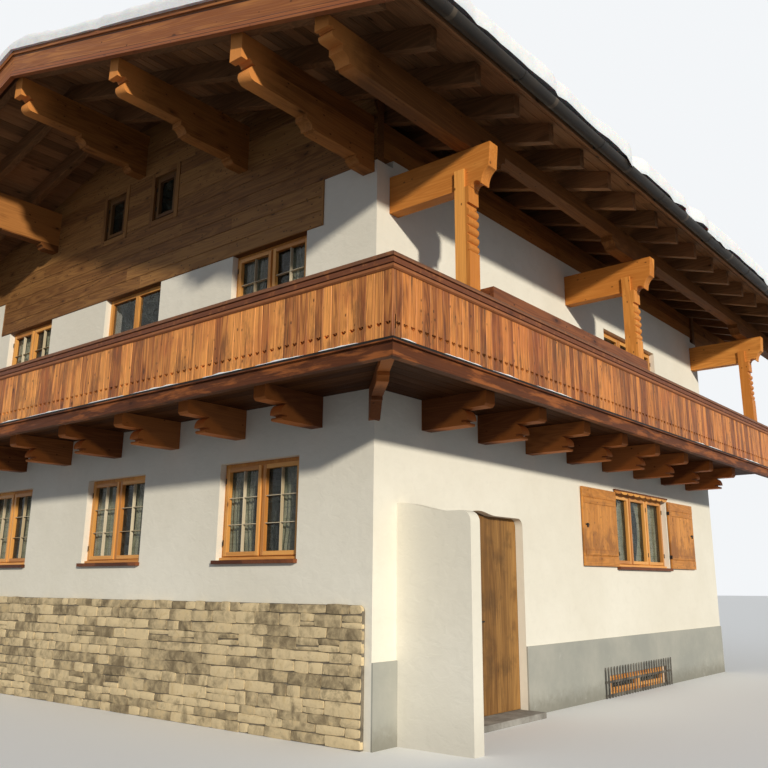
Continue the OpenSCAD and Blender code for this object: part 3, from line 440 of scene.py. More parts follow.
def wood(kind, run="mesh", name=None, knots=0.5, streaks=0.5, rough=0.55, coat=0.0, contrast=1.0, tones=1.0,
         pins=0.0, stain=0.0, gloss=0.2, tint=None):
    pale, deep = timbers[kind]
    look = Look(name or kind + run.title() + "Timber")
    vector, tone = grainOf(look, run)
    rings = look.cloud(look.stretch(vector, 0.35, 5.0, 5.0), 1.0, 2.0, 0.4)
    lines = look.between(look.calc("SINE", rings * 95.0), -1.0, 1.0)
    broad = look.cloud(look.stretch(vector, 0.7, 11.0, 11.0), 1.0, 5.0, 0.6)
    fine = look.cloud(look.stretch(vector, 3.0, 110.0, 110.0), 1.0, 3.0, 0.6)
    cell, pick = look.cells(look.stretch(vector, 2.8, 6.2, 6.2))
    chosen = pick > (1.0 - knots * 0.8)
    knot = look.between(cell, 0.15, 0.06) * chosen
    halo = look.between(cell, 0.42, 0.12) * chosen
    level = look.between(tone, 0.0, 1.0, 0.5 - 0.34 * tones, 0.5 + 0.34 * tones)
    level = level + (broad - 0.5) * (0.9 * streaks) + (lines - 0.5) * (0.16 * contrast)
    level = level + (fine - 0.5) * 0.45 - halo * 0.22
    colour = look.mix(look.between(level, 0.05, 0.95), deep, pale)
    colour = look.mix(knot * 0.85, colour, darker(deep, 0.28))
    if pins:                             # small dark knots
        near, pick = look.cells(look.stretch(vector, 9.0, 15.0, 15.0))
        dot = look.between(near, 0.20, 0.09) * (pick > (1.0 - pins))
        colour = look.mix(dot * 0.85, colour, darker(deep, 0.22))
    if stain:                            # narrow weathered veins, dark and bright
        vein = look.cloud(look.stretch(vector, 2.2, 30.0, 30.0), 1.0, 5.0, 0.62)
        colour = look.coats(colour, (vein, 0.52, 0.72, stain, (0.058, 0.034, 0.015)),
                            (vein, 0.46, 0.28, stain * 0.5, (0.76, 0.37, 0.12)))
    if tint:                             # a change of colour by the place on the house
        colour = tint(look, colour, look.place())
    height = fine * 0.5 + lines * 0.35 - knot * 0.6 + broad * 0.3
    return look.finish(baseColor=colour, roughness=look.between(fine, 0.2, 0.8, rough - 0.1, rough + 0.12),
                       coatWeight=coat, coatRoughness=0.35, specularIorLevel=gloss,
                       normal=look.bump(height, 0.0022, 0.8))


def bargeTint(look, colour, place):      # dark quirks along the barge boards, a redder lower moulding
    x, y, z = look.split(place)
    over = z - under(x) - house["bargeTop"]
    colour = look.coats(colour, (over, -0.345, -0.355, 0.45, (0.30, 0.085, 0.030)))
    for at, half in ((-0.012, 0.014), (-0.112, 0.011), (-0.348, 0.012), (-0.398, 0.006)):
        colour = look.coats(colour, (abs(over - at), half, half * 0.5, 0.85, (0.030, 0.010, 0.005)))
    return colour


def railTint(look, colour, place):       # weathered cap, a darker band under it that is painted shade, and reddish moulding of the handrail
    z = look.split(place)[2]
    fleck = look.cloud(look.stretch(place, 3.0, 3.0, 3.0), 4.0, 4.0, 0.6)
    # painted shade: the band under the projecting cap is darkened
    middle = look.between(z, 4.406, 4.412) * 0.5
    return look.coats(colour, (z, 4.476, 4.484, 0.5, (0.22, 0.11, 0.060)),
                      (z, 4.476, 4.470, middle, (0.13, 0.042, 0.018)),
                      (z, 4.408, 4.400, 0.6, (0.38, 0.14, 0.050)),
                      (fleck, 0.52, 0.70, 0.45, (0.42, 0.16, 0.050)))


def fasciaTint(look, colour, place):     # black drip strip over dark boards with paler orange patches
    z = look.split(place)[2]
    patch = look.cloud(look.stretch(place, 1.3, 1.3, 9.0), 1.0, 5.0, 0.66)
    colour = look.mix(0.6, colour, (0.045, 0.014, 0.006))
    return look.coats(colour, (patch, 0.47, 0.62, 0.62, (0.41, 0.132, 0.037)),
                      (z, 3.696, 3.699, 1.0, (0.018, 0.015, 0.013)))


def sunburn(look, colour, place):        # redder and browner patches across the parapet boards
    red = look.cloud(place, 1.7, 4.0, 0.6)
    brown = look.cloud(look.stretch(place, 3.4, 3.4, 1.1), 1.6, 5.0, 0.66)
    return look.coats(colour, (red, 0.50, 0.66, 0.32, (0.46, 0.12, 0.038)),
                      (brown, 0.52, 0.66, 0.50, (0.105, 0.046, 0.018)))


def doorPatches(look, colour, place):         # darker patches on the entrance boards
    patch = look.cloud(place, 2.3, 5.0, 0.66)
    return look.coats(colour, (patch, 0.48, 0.68, 0.55, (0.085, 0.045, 0.018)))


def rainStain(look, colour, place):      # brown patches on the shutters, most above their lower batten
    z = look.split(place)[2]
    patch = look.cloud(look.stretch(place, 2.6, 2.6, 2.0), 2.0, 5.0, 0.66, 0.4)
    low = look.between(z, 2.02, 2.10) * look.between(z, 2.55, 2.16)
    return look.coats(colour, (patch + low * 0.18, 0.49, 0.76, 0.66, (0.20, 0.075, 0.022)))


def sunlitPurlinEnds(look, colour, place):        # painted sunlight: the purlins turn paler and more orange towards their ends
    y = look.split(place)[1]
    fleck = look.cloud(place, 3.0, 4.0, 0.6)
    return look.coats(colour, (abs(y) + fleck * 0.5, 6.85, 7.40, 0.75, (0.80, 0.31, 0.078)))


def sunlitJoistNoses(look, colour, place):       # painted sunlight: the carved noses of the balcony joists turn paler and more orange below a line that rises outwards
    x, y, z = look.split(place)
    out = look.calc("MAXIMUM", abs(x) - halfWidth, -halfLength - y)
    fleck = look.cloud(place, 6.0, 4.0, 0.6)
    return look.coats(colour, (out * 0.5 + fleck * 0.1 - z, -3.24, -3.14, 0.55, (0.74, 0.24, 0.055)))


def shadedAtticFrames(look, colour, place):      # painted shade: the frames of the small windows under the roof are darkened
    return look.coats(colour, (look.split(place)[2], 6.50, 6.52, 0.85, (0.050, 0.027, 0.015)))


def limeRender():
    look = Look("limeRender")
    place = look.place()
    broad = look.cloud(place, 0.55, 5.0, 0.6)
    trowel = look.cloud(look.stretch(place, 1.0, 1.0, 1.4), 7.0, 5.0, 0.6, 0.6)
    grit = look.cloud(place, 160.0, 3.0, 0.7)
    splash = look.split(place)[2] + broad * 0.5
    colour = look.mix(look.between(broad, 0.3, 0.72), (0.80, 0.76, 0.65), (0.88, 0.845, 0.74))
    colour = look.coats(colour, (trowel, 0.45, 0.8, 0.22, (0.70, 0.67, 0.58)),
                        (splash, 0.75, 0.2, 0.35, (0.55, 0.52, 0.46)))
    return look.finish(baseColor=colour, roughness=0.92, specularIorLevel=0.2,
                       normal=look.bump(trowel * 0.8 + grit * 0.12 + broad, 0.010, 0.7))


def plinthPaint():
    look = Look("plinthPaint")
    place = look.place()
    broad = look.cloud(place, 0.8, 5.0, 0.62)
    trowel = look.cloud(place, 9.0, 5.0, 0.6, 0.5)
    damp = look.split(place)[2] + (trowel - 0.5) * 0.25
    colour = look.mix(look.between(broad, 0.3, 0.7), (0.34, 0.345, 0.31), (0.45, 0.44, 0.385))
    colour = look.coats(colour, (damp, 0.30, 0.02, 0.6, (0.18, 0.17, 0.13)),
                        (trowel, 0.62, 0.75, 0.3, (0.54, 0.54, 0.49)))
    return look.finish(baseColor=colour, roughness=0.86, specularIorLevel=0.3,
                       normal=look.bump(trowel, 0.008, 0.7))


def coursedStone(name, pale, deep, rust):
    look = Look(name)
    vector, tone = grainOf(look, "mesh")
    patch = look.cloud(vector, 6.0, 6.0, 0.65, 0.4)
    pits = look.cloud(vector, 45.0, 4.0, 0.7)
    # painted shadow: broad dark blotches across the stones and the mortar
    shadowBlotch = look.cloud(look.place(), 3.4, 5.0, 0.65, 0.3)
    colour = look.mix(look.between(tone * 0.46 + patch * 1.1, 0.40, 0.96), deep, pale)
    colour = look.coats(colour, (shadowBlotch, 0.54, 0.70, 0.6, darker(deep, 0.42)),
                        (patch, 0.52, 0.75, 0.55, rust), (pits, 0.6, 0.75, 0.4, darker(deep, 0.4)))
    return look.finish(baseColor=colour, roughness=0.9, specularIorLevel=0.3,
                       normal=look.bump(patch * 0.7 + pits * 0.35, 0.018, 0.9))


def pavingStone():
    look = Look("pavingStone")
    place = look.place()
    patch = look.cloud(place, 3.0, 6.0, 0.65)
    pits = look.cloud(place, 60.0, 4.0, 0.7)
    colour = look.mix(look.between(patch, 0.3, 0.7), (0.20, 0.185, 0.16), (0.42, 0.40, 0.36))
    colour = look.coats(colour, (pits, 0.58, 0.72, 0.4, (0.12, 0.11, 0.10)))
    return look.finish(baseColor=colour, roughness=0.85, normal=look.bump(patch + pits * 0.3, 0.006, 0.8))


def clayTile():
    look = Look("clayTile")
    vector, tone = grainOf(look, "mesh")
    patch = look.cloud(vector, 9.0, 5.0, 0.6)
    moss = look.cloud(vector, 3.0, 5.0, 0.6)
    level = look.between(tone * 0.6 + patch * 0.5, 0.2, 0.9)
    colour = look.mix(level, (0.050, 0.040, 0.036), (0.15, 0.10, 0.075))
    colour = look.coats(colour, (moss, 0.52, 0.7, 0.5, (0.075, 0.078, 0.045)))
    return look.finish(baseColor=colour, roughness=0.8, normal=look.bump(patch, 0.004, 0.8))


def snow():
    look = Look("snow")
    place = look.place()
    lumps = look.cloud(place, 5.0, 5.0, 0.6)
    grains = look.cloud(place, 120.0, 3.0, 0.7)
    colour = look.mix(look.between(lumps, 0.3, 0.7), (0.80, 0.83, 0.87), (0.90, 0.90, 0.90))
    return look.finish(baseColor=colour, roughness=0.75, subsurfaceWeight=0.15, specularIorLevel=0.3,
                       normal=look.bump(lumps + grains * 0.2, 0.02, 0.7))


def darkMetal(name, pale, deep, rough, metallic, joints=False):
    look = Look(name)
    place = look.place()
    patch = look.cloud(place, 4.0, 6.0, 0.65)
    spots = look.cloud(place, 55.0, 4.0, 0.7)
    colour = look.mix(look.between(patch, 0.35, 0.7), deep, pale)
    colour = look.coats(colour, (spots, 0.60, 0.72, 0.5, (0.13, 0.065, 0.035)))
    if joints:                           # the gutter: a paler upper band, and collars 1.9 m apart
        x, y, z = look.split(place)
        collar = abs(look.calc("FRACT", y / 1.9) - 0.5)
        colour = look.coats(colour, (z, 6.690, 6.700, 0.55, (0.090, 0.070, 0.050)),
                            (collar, 0.020, 0.012, 0.8, (0.110, 0.085, 0.060)))
    return look.finish(baseColor=colour, roughness=look.between(patch, 0.3, 0.7, rough, rough + 0.2),
                       metallic=metallic, specularIorLevel=0.3,
                       normal=look.bump(spots + patch * 0.5, 0.0015, 0.6))


def paneGlass():
    look = Look("paneGlass")
    place = look.place()
    wave = look.cloud(place, 2.2, 2.0, 0.5)
    dust = look.cloud(place, 14.0, 5.0, 0.65)
    colour = look.mix(look.between(dust, 0.4, 0.75), (0.026, 0.032, 0.024), (0.10, 0.11, 0.085))
    return look.finish(baseColor=colour, roughness=look.between(dust, 0.4, 0.8, 0.03, 0.14), ior=1.5,
                       alpha=look.between(dust, 0.3, 0.8, 0.26, 0.44), normal=look.bump(wave, 0.004, 0.5))


def curtainCloth():
    look = Look("curtainCloth")
    x, y, z = look.split(look.place())
    thread = look.calc("SINE", z * 900.0) * look.calc("SINE", (x + y) * 900.0)
    soft = look.cloud(look.join(x, y, z * 0.3), 6.0, 4.0, 0.6)
    stripe = look.calc("SINE", z * 46.0)
    colour = look.mix(look.between(soft, 0.3, 0.7), (0.46, 0.49, 0.32), (0.78, 0.78, 0.58))
    colour = look.coats(colour, (stripe, 0.86, 0.97, 0.5, (0.34, 0.38, 0.26)))
    return look.finish(baseColor=colour, roughness=0.9, sheenWeight=0.25,
                       normal=look.bump(thread + soft, 0.001, 0.5))


finishes = {
    "render": limeRender(),
    "plinth": plinthPaint(),
    "stones": coursedStone("baseStone", (0.78, 0.62, 0.37), (0.22, 0.168, 0.098), (0.54, 0.38, 0.17)),
    "mortar": coursedStone("mortar", (0.26, 0.22, 0.16), (0.10, 0.085, 0.065), (0.13, 0.11, 0.08)),
    "paving": pavingStone(),
    "tile": clayTile(),
    "snow": snow(),
    "gutter": darkMetal("gutterSheet", (0.032, 0.026, 0.020), (0.012, 0.010, 0.008), 0.42, 0.0, joints=True),
    "iron": darkMetal("blackIron", (0.050, 0.047, 0.045), (0.018, 0.017, 0.016), 0.5, 0.6),
    "grille": darkMetal("greyIron", (0.21, 0.19, 0.16), (0.075, 0.068, 0.058), 0.6, 0.0),
    "glass": paneGlass(),
    "cloth": curtainCloth(),
}
plainSolids = {                          # the solids that aren't timber
    "render": ["front_wall", "rear_wall", "left_wall", "right_wall_corner", "right_wall_over_door",
               "right_wall", "wing_wall"],
    "paving": ["ground_floor", "door_step"],
    "plinth": ["plinth"],
    "glass": ["window_glass"],
    "gutter": ["gutters"],
    "grille": ["cellar_grille"],
    "iron": ["door_pintles"],
}
roofPurlins = ["ridge_purlin", "middle_purlins", "wall_plates", "eave_purlins"]
timberSolids = [                         # timber, run of its grain, solids, and how they differ
    ("floor", "y", ["upper_floor", "attic_floor"], {}),
    ("gable", "x", ["front_gable", "rear_gable"], {"knots": 0.3}),
    ("carved", "x", ["bracket_beams"], {"pins": 0.2}),
    ("carved", "z", ["posts"], {"pins": 0.2}),
    ("roof", "x", ["rafters"], {"tones": 0.6, "gloss": 0.08}),
    ("roof", "y", ["eave_boards"], {"tones": 0.6, "gloss": 0.08}),
    ("barge", "slope", ["barge_boards"], {"streaks": 1.6, "contrast": 1.6, "pins": 0.2, "tint": bargeTint}),
    ("joist", "beams", ["balcony_joists"], {"gloss": 0.1, "pins": 0.3, "tint": sunlitJoistNoses}),
    ("rail", "round", ["balcony_fascia"],
     {"name": "fasciaTimber", "streaks": 0.9, "gloss": 0.1, "tint": fasciaTint}),
    ("rail", "round", ["handrail"], {"streaks": 0.8, "tint": railTint}),
    ("rail", "y", ["window_sills"], {}),
    ("box", "y", ["flower_box"], {"streaks": 0.9, "pins": 0.3}),
    ("joinery", "z", ["balcony_door"], {}),
    ("joinery", "z", ["window_frames"], {"knots": 0.2, "tint": shadedAtticFrames}),
    ("door", "z", ["door_leaf_near", "door_leaf_far"], {}),
    ("purlin", "y", roofPurlins + ["purlin_corbels"],
     {"streaks": 0.9, "pins": 0.2, "gloss": 0.08, "tint": sunlitPurlinEnds}),
]
edges = [                                # rounding of the sawn edges, and the solids that have it
    (0.006, roofPurlins + ["bracket_beams", "rafters", "balcony_joists"]),
    (0.003, ["window_sills", "flower_box", "door_step", "balcony_door", "window_frames"]),
]


def dress(names, material):
    for name in names:
        nodes[name].data.materials.clear()
        nodes[name].data.materials.append(material)


def soften(name, width):
    weld = nodes[name].modifiers.new("weld", "WELD")
    weld.merge_threshold = 0.0002
    bevel = nodes[name].modifiers.new("edges", "BEVEL")
    bevel.width = width
    bevel.segments = 2
    bevel.limit_method = "ANGLE"
    bevel.angle_limit = math.radians(38)


for kind, names in plainSolids.items():
    dress(names, finishes[kind])
for kind, run, names, more in timberSolids:
    dress(names, wood(kind, run, **more))
for width, names in edges:
    for name in names:
        soften(name, width)
print("finishes on the solids")

# balcony parapets and deck

parapet = {
    "low": 3.720, "high": 4.460, "depth": 0.026,
    "boardWidth": 0.107, "joint": 0.003, "chamfer": 0.004,
    "heartHeight": 0.135, "heartWidth": 0.064, "heartTall": 0.80, "heartPoints": 22,
    "railLow": 3.800, "railHigh": 3.940, "railDepth": 0.025,     # the rail that the boards are nailed to; at the darkest tone behind the hearts, it is painted shade that makes them look dark
    "railGap": 0.01,                     # behind them, as a share of their depth
    "frontY": -6.570, "sideX": 6.220, "rearY": 5.180, "gap": 0.003,
}
deck = {"low": 3.70, "high": 3.74, "reach": 1.364, "boards": 9, "joint": 0.005, "mitre": 0.006}


def heart(centre, low):
    points = []
    scale = parapet["heartWidth"] / 32   # the curve is 32 units wide
    for i in range(parapet["heartPoints"]):
        t = 2 * math.pi * i / parapet["heartPoints"]
        a = 16 * math.sin(t) ** 3
        b = 13 * math.cos(t) - 5 * math.cos(2 * t) - 2 * math.cos(3 * t) - math.cos(4 * t)
        points.append((centre + a * scale, low + b * scale * parapet["heartTall"]))
    return points


def parapetRun(pile, start, end, place, low):
    high, cut = parapet["high"], parapet["chamfer"]
    count = round((end - start) / parapet["boardWidth"])
    step = (end - start) / count
    for i in range(count):
        left = start + i * step + parapet["joint"] / 2
        right = start + (i + 1) * step - parapet["joint"] / 2
        outline = [(left, low), (right, low), (right, high), (left, high)]
        hole = heart((left + right) / 2, parapet["low"] + parapet["heartHeight"])
        flat = outline + hole
        face = [(min(max(a, left + cut), right - cut), min(max(b, low + cut), high - cut)) for a, b in flat]
        levels = [(0.0, flat), (1.0 - cut / parapet["depth"], flat), (1.0, face)]
        pile.prism(outline, place, [hole], up, levels)
    back = -parapet["railDepth"] / parapet["depth"]
    heights = (parapet["railLow"], parapet["railHigh"])
    # the dark rail behind the hearts is painted shade, at the darkest tone
    pile.slab(place, (start, end), heights, (back, -parapet["railGap"]), cut, tone=0.0)


def buildParapets():
    age = {"streaks": 1.1, "contrast": 1.3, "knots": 0.3, "rough": 0.5, "tones": 0.8, "pins": 0.35,
           "tint": sunburn}
    look = wood("parapet", stain=0.8, **age)
    paler = wood("sunlitParapet", stain=0.65, **age)               # painted light: the front boards are paler, so they look as sunlit as the side boards
    frontY, sideX, rearY = parapet["frontY"], parapet["sideX"], parapet["rearY"]
    depth, low = parapet["depth"], parapet["low"]
    inner = depth + parapet["gap"]       # the runs meet at the corners
    front = Pile(3)
    parapetRun(front, -sideX, sideX, lambda a, b, d: (a, frontY + depth * (1 - d), b), low)
    front.piece("parapet_boards_front", paler, "balcony_timber", replaces=["parapet_front"])
    for name, side in (("right", 1), ("left", -1)):
        pile = Pile(5 + side)

        def sidePlace(a, b, d):
            return side * (sideX - depth * (1 - d)), a, b

        def rearPlace(a, b, d):
            return side * a, rearY - depth * (1 - d), b

        parapetRun(pile, frontY + inner, rearY, sidePlace, low)
        parapetRun(pile, halfWidth, sideX - inner, rearPlace, deck["high"])
        pile.piece("parapet_boards_" + name, look, "balcony_timber", replaces=["parapet_" + name])


def buildBalconyFloor():
    pile = Pile(11)
    step = deck["reach"] / deck["boards"]
    mitre = deck["mitre"]

    def place(a, b, depth):
        return a, b, deck["low"] + (deck["high"] - deck["low"]) * depth

    for i in range(deck["boards"]):
        near, far = i * step + deck["joint"] / 2, (i + 1) * step - deck["joint"] / 2
        x0, x1 = halfWidth + near, halfWidth + far
        y0, y1 = -halfLength - near, -halfLength - far
        pile.prism([(-x0, y0), (x0, y0), (x1, y1), (-x1, y1)], place)
        for side in (-1, 1):
            ends = ((x0, y0 + mitre), (x1, y1 + mitre), (x1, halfLength), (x0, halfLength))
            outline = [(side * x, y) for x, y in ends]
            pile.prism(outline, place, along=alongY)
    # the deck boards are very dark as painted shade under the balcony
    pile.piece("balcony_floor_boards", wood("deck", streaks=0.8, gloss=0.05), "balcony_timber",
               replaces=["balcony_floor"])


buildParapets()
buildBalconyFloor()

# roof: boards, tiles and snow

roof = {
    "edgeX": 6.85, "vergeY": 7.34, "boardOff": 0.24, "coverOff": 0.27, "topOff": 0.38,
    "boardWidth": 0.165, "boardChamfer": 0.007, "joint": 0.001, "ridgeGap": 0.002,
    "battenWidth": 0.05, "battenTall": 0.06, "firstBatten": 0.06,
}
tiles = {
    "width": 0.26, "row": 0.33, "rows": 20, "lap": 0.06, "sideLap": 1.04, "thick": 0.014, "sink": 0.050,
    "tilt": (0.010, 0.040),              # of the upper and the lower end
    "edgeIn": 0.005,                     # from the roof's edge to the first row
    "bars": 8, "bend": 0.62,             # share of the width that the pan takes, beside its roll
    "pan": 0.008, "roll": 0.024, "shownRows": 3, "shownColumns": 2,      # the others lie deep under the snow
}


def buildRoofBoards():
    pile = Pile(21)
    start, cut, gap = roof["ridgeGap"], roof["boardChamfer"], roof["joint"]
    low, high = roof["boardOff"], roof["coverOff"]
    count = round((roof["edgeX"] - start) / roof["boardWidth"])
    step = (roof["edgeX"] - start) / count
    for side in (-1, 1):
        for i in range(count):
            x0, x1 = start + i * step + gap, start + (i + 1) * step - gap
            section = [(x0, low + cut), (x0 + cut, low), (x1 - cut, low), (x1, low + cut),
                       (x1, high), (x0, high)]
            outline = [(x, under(x) + off) for x, off in section]
            cuts = [-roof["vergeY"], pile.dice.uniform(-5, -0.5), pile.dice.uniform(0.5, 5), roof["vergeY"]]
            for y0, y1 in zip(cuts, cuts[1:]):
                length = y1 - y0 - 2 * gap
                pile.prism(outline, lambda a, b, d: (side * a, y0 + gap + length * d, b), along=alongY)
    look = wood("roof", streaks=0.6, tones=0.6, gloss=0.08)
    pile.piece("roof_boarding", look, "roof_timber", replaces=["roof_boards"])


def addTile(pile, side, x, y0, y1):      # a shallow pan with a roll on one edge
    bars, bend = tiles["bars"], tiles["bend"]
    length = tiles["row"] + tiles["lap"]
    points = []
    for end, tilt in enumerate(tiles["tilt"]):
        along = x - length * (1 - end)
        for lift in (0.0, tiles["thick"]):
            for k in range(bars + 1):
                f = k / bars
                crest = max(0.0, math.sin(math.pi * min(1.0, max(0.0, (f - bend) / (1 - bend)))))
                curve = tiles["roll"] * crest - tiles["pan"] * math.sin(math.pi * min(1, f / bend))
                height = under(along) + roof["topOff"] - tiles["sink"] + tilt + lift + curve
                points.append((side * along, y0 + (y1 - y0) * f, height))
    strips = [[strip * (bars + 1) + k for k in range(bars + 1)] for strip in range(4)]
    faces = [[strips[i][k] for i in (0, 2, 3, 1)] for k in (0, bars)]
    for first, second in ((0, 1), (1, 3), (2, 3), (0, 2)):
        pairs = list(zip(strips[first], strips[second]))
        faces += [[a, b, d, c] for (a, b), (c, d) in zip(pairs, pairs[1:])]
    pile.add(points, faces)


def buildTiles():
    pile = Pile(22)
    verge, low = roof["vergeY"], roof["coverOff"]
    for side in (-1, 1):                 # battens under the tiles, seen at the verge
        for i in range(tiles["rows"]):
            x1 = roof["edgeX"] - roof["firstBatten"] - i * tiles["row"]
            x0 = x1 - roof["battenWidth"]
            high = low + roof["battenTall"]
            outline = [(x, under(x) + off) for x, off in ((x0, low), (x1, low), (x1, high), (x0, high))]
            pile.prism(outline, lambda a, b, d: (side * a, -verge + 2 * verge * d, b), along=alongY)
    columns = round(2 * verge / tiles["width"])
    width = 2 * verge / columns
    hidden = range(tiles["shownColumns"], columns - tiles["shownColumns"])
    for side in (-1, 1):
        for row in range(tiles["rows"]):
            x = roof["edgeX"] - tiles["edgeIn"] - row * tiles["row"]
            for column in range(columns):
                if row >= tiles["shownRows"] and column in hidden:
                    continue
                y = -verge + column * width
                last = column == columns - 1
                addTile(pile, side, x, y, y + width * (1.0 if last else tiles["sideLap"]))
    pile.piece("roof_tiles", finishes["tile"], "roof_tiles", replaces=["roof_cover"], smooth=40)


snowCover = {
    "thick": 0.170, "lump": 0.050, "edge": 0.070,
    "shoulder": 0.20, "foot": 0.02,      # from the edge to the flat of the roof, and under the snow
    "curl": 100,                         # degrees that the rim turns under
    "rim": [0.84, 0.68, 0.52, 0.38, 0.25, 0.12, 0.0],            # its steps, from the inside out to the edge
    "hang": 0.045, "droop": 0.18,        # over the gutters, and where it has slipped further
    "bite": 0.045, "cell": 0.13, "sit": 0.372, "reachX": 7.040, "reachY": 7.455,
    "ridgeRound": 0.35,
}


def ripple(a, seed, scale):
    long = noise.noise(Vector((a * scale, seed, 0.3)))
    return long + 0.5 * noise.noise(Vector((a * scale * 2.7, seed + 9, 0.3)))


def snowEdge(a, seed, reach):            # how far the snow reaches, at a place along its edge
    verge = reach == snowCover["reachY"]
    bite = max(0.0, ripple(a, seed, 0.9) * 0.6 + ripple(a, seed + 5, 3.0) * 0.45 + 0.25) * snowCover["bite"]
    deep = max(0.0, ripple(a, seed + 31, 0.8) - 0.50) * 0.8
    return reach - bite * (0.5 if verge else 1.0) - min(deep, 0.02 if verge else 0.14)


def snowPlaces(reach):                   # places across the roof; in the rim each has a share, 0 at the edge
    inner = reach - snowCover["edge"] - snowCover["shoulder"]
    count = round(2 * inner / snowCover["cell"])
    middle = [(-inner + 2 * inner * i / count, None) for i in range(count + 1)]
    rim = [(inner + snowCover["shoulder"] / 2, share) for share in snowCover["rim"]]
    return [(-a, share) for a, share in reversed(rim)] + middle + rim


def snowLumps(x, y):
    sizes = ((0.9, 2.0, 1.0), (2.6, 7.0, 0.5), (7.0, 5.0, 0.35))         # scale, seed, height
    return sum(height * noise.noise(Vector((x * scale, y * scale, seed))) for scale, seed, height in sizes)


def buildSnow():
    turn = math.radians(snowCover["curl"])

    def swell(a, seed, share):           # the rim swells out to its edge and turns back under
        rise = snowCover["edge"] * (1.0 + 0.5 * ripple(a, seed, 2.2))
        return rise * (1 - math.sin((1 - share) * turn))

    acrossX, acrossY = snowPlaces(snowCover["reachX"]), snowPlaces(snowCover["reachY"])
    upper, lower = [], []
    for baseY, shareY in acrossY:
        for baseX, shareX in acrossX:
            x, y = baseX, baseY
            sideX, sideY = (1 if baseX >= 0 else -1), (1 if baseY >= 0 else -1)
            if shareX is not None:
                edge = snowEdge(baseY, 3.0 * sideX, snowCover["reachX"])
                x = sideX * (edge - swell(baseY, 50 + sideX, shareX))
            if shareY is not None:
                edge = snowEdge(baseX, 20 + 3.0 * sideY, snowCover["reachY"])
                y = sideY * (edge - swell(baseX, 60 + sideY, shareY))
            angle = max(0.0 if share is None else (1 - share) * turn for share in (shareX, shareY))
            bow = snowCover["ridgeRound"]
            root = math.sqrt(x * x + bow * bow)
            base = under(x) + snowCover["sit"]
            ridge = under(root - bow * bow / root * 0.5) + snowCover["sit"]
            thick = snowCover["thick"] + snowCover["lump"] * snowLumps(x, y)
            hang = snowCover["hang"] + max(0.0, ripple(baseY, 70 + sideX, 1.6) - 0.15) * snowCover["droop"]
            hang *= max(0.0, 1 - (1.0 if shareX is None else shareX) / 0.30)
            upper.append((x, y, min(base, ridge) + thick * (0.36 + 0.64 * math.cos(angle)) - hang))
            lower.append((x, y, base - snowCover["foot"] - hang))
    count = len(upper)
    sheet = gridFaces(len(acrossX), len(acrossY))
    rim = gridRim(len(acrossX), len(acrossY))
    below = [[i + count for i in reversed(face)] for face in sheet]
    faces = sheet + below + band(rim, [i + count for i in rim])
    pile = Pile(23)
    pile.add(upper + lower, faces)
    pile.piece("roof_snow", finishes["snow"], "roof_tiles", smooth=60)


buildRoofBoards()
buildTiles()
buildSnow()

# gable boards

gable = {
    "rows": [5.87, 6.073, 6.277, 6.48] + [6.48 + 0.205 * i for i in range(1, 10)],
    "thick": 0.016, "chamfer": 0.006, "joint": 0.003, "endGap": 0.001, "longest": 4.5, "shortest": 1.6,
    "pier": 3.97, "pierTop": 6.48,       # the rendered piers beside the lowest rows
    "windows": [(-0.91, -0.37), (0.37, 0.91)], "sill": 6.89, "head": 7.63,
    "trim": 0.075, "trimThick": 0.030, "trimLap": 0.008, "trimBack": 0.005,      # round the attic windows
    "strip": (0.020, 0.004), "stripBack": 0.002,         # beside the piers, over the boards and over the pier
    "least": 0.3,                        # half width of the gable where the boards end
}


def gableEnd(z):                         # half width of the gable at a height
    return min(halfWidth, house["plateX"] + (house["rafterFoot"] + roof["boardOff"] - z) / house["pitch"])


# stretches of one row between the attic windows: lower ends, upper ends and heights
def gableRow(z0, z1):
    lower, upper = gableEnd(z0), max(gableEnd(z1), 0.03)
    if z1 <= gable["pierTop"] + 0.001:
        lower = upper = gable["pier"]
    parts = [(-lower, lower, -upper, upper, z0, z1)]
    for left, right in gable["windows"]:
        if z1 <= gable["sill"] + 0.01 or z0 >= gable["head"] - 0.01:
            continue
        cut = []
        for a0, a1, b0, b1, low, high in parts:
            if a0 < left and a1 > right:
                cut += [(a0, left, b0, left, low, high), (right, a1, right, b1, low, high)]
                if high > gable["head"] + 0.01:
                    cut.append((left, right, left, right, gable["head"], high))
            else:
                cut.append((a0, a1, b0, b1, low, high))
        parts = cut
    return parts


def gableBoard(pile, place, ends, low, high):
    (left0, left1), (right0, right1) = ends
    gap, cut, thick = gable["joint"] / 2, gable["chamfer"], gable["thick"]

    def outline(inset):
        z0, z1 = low + gap + inset, high - gap - inset
        f0, f1 = (z0 - low) / (high - low), (z1 - low) / (high - low)
        lefts = [left0 + (left1 - left0) * f + gable["endGap"] for f in (f0, f1)]
        rights = [right0 + (right1 - right0) * f - gable["endGap"] for f in (f0, f1)]
        return [(lefts[0], z0), (rights[0], z0), (rights[1], z1), (lefts[1], z1)]

    levels = [(0.0, outline(0.0)), (thick - cut, outline(0.0)), (thick, outline(cut))]
    pile.prism(outline(0.0), place, levels=levels)


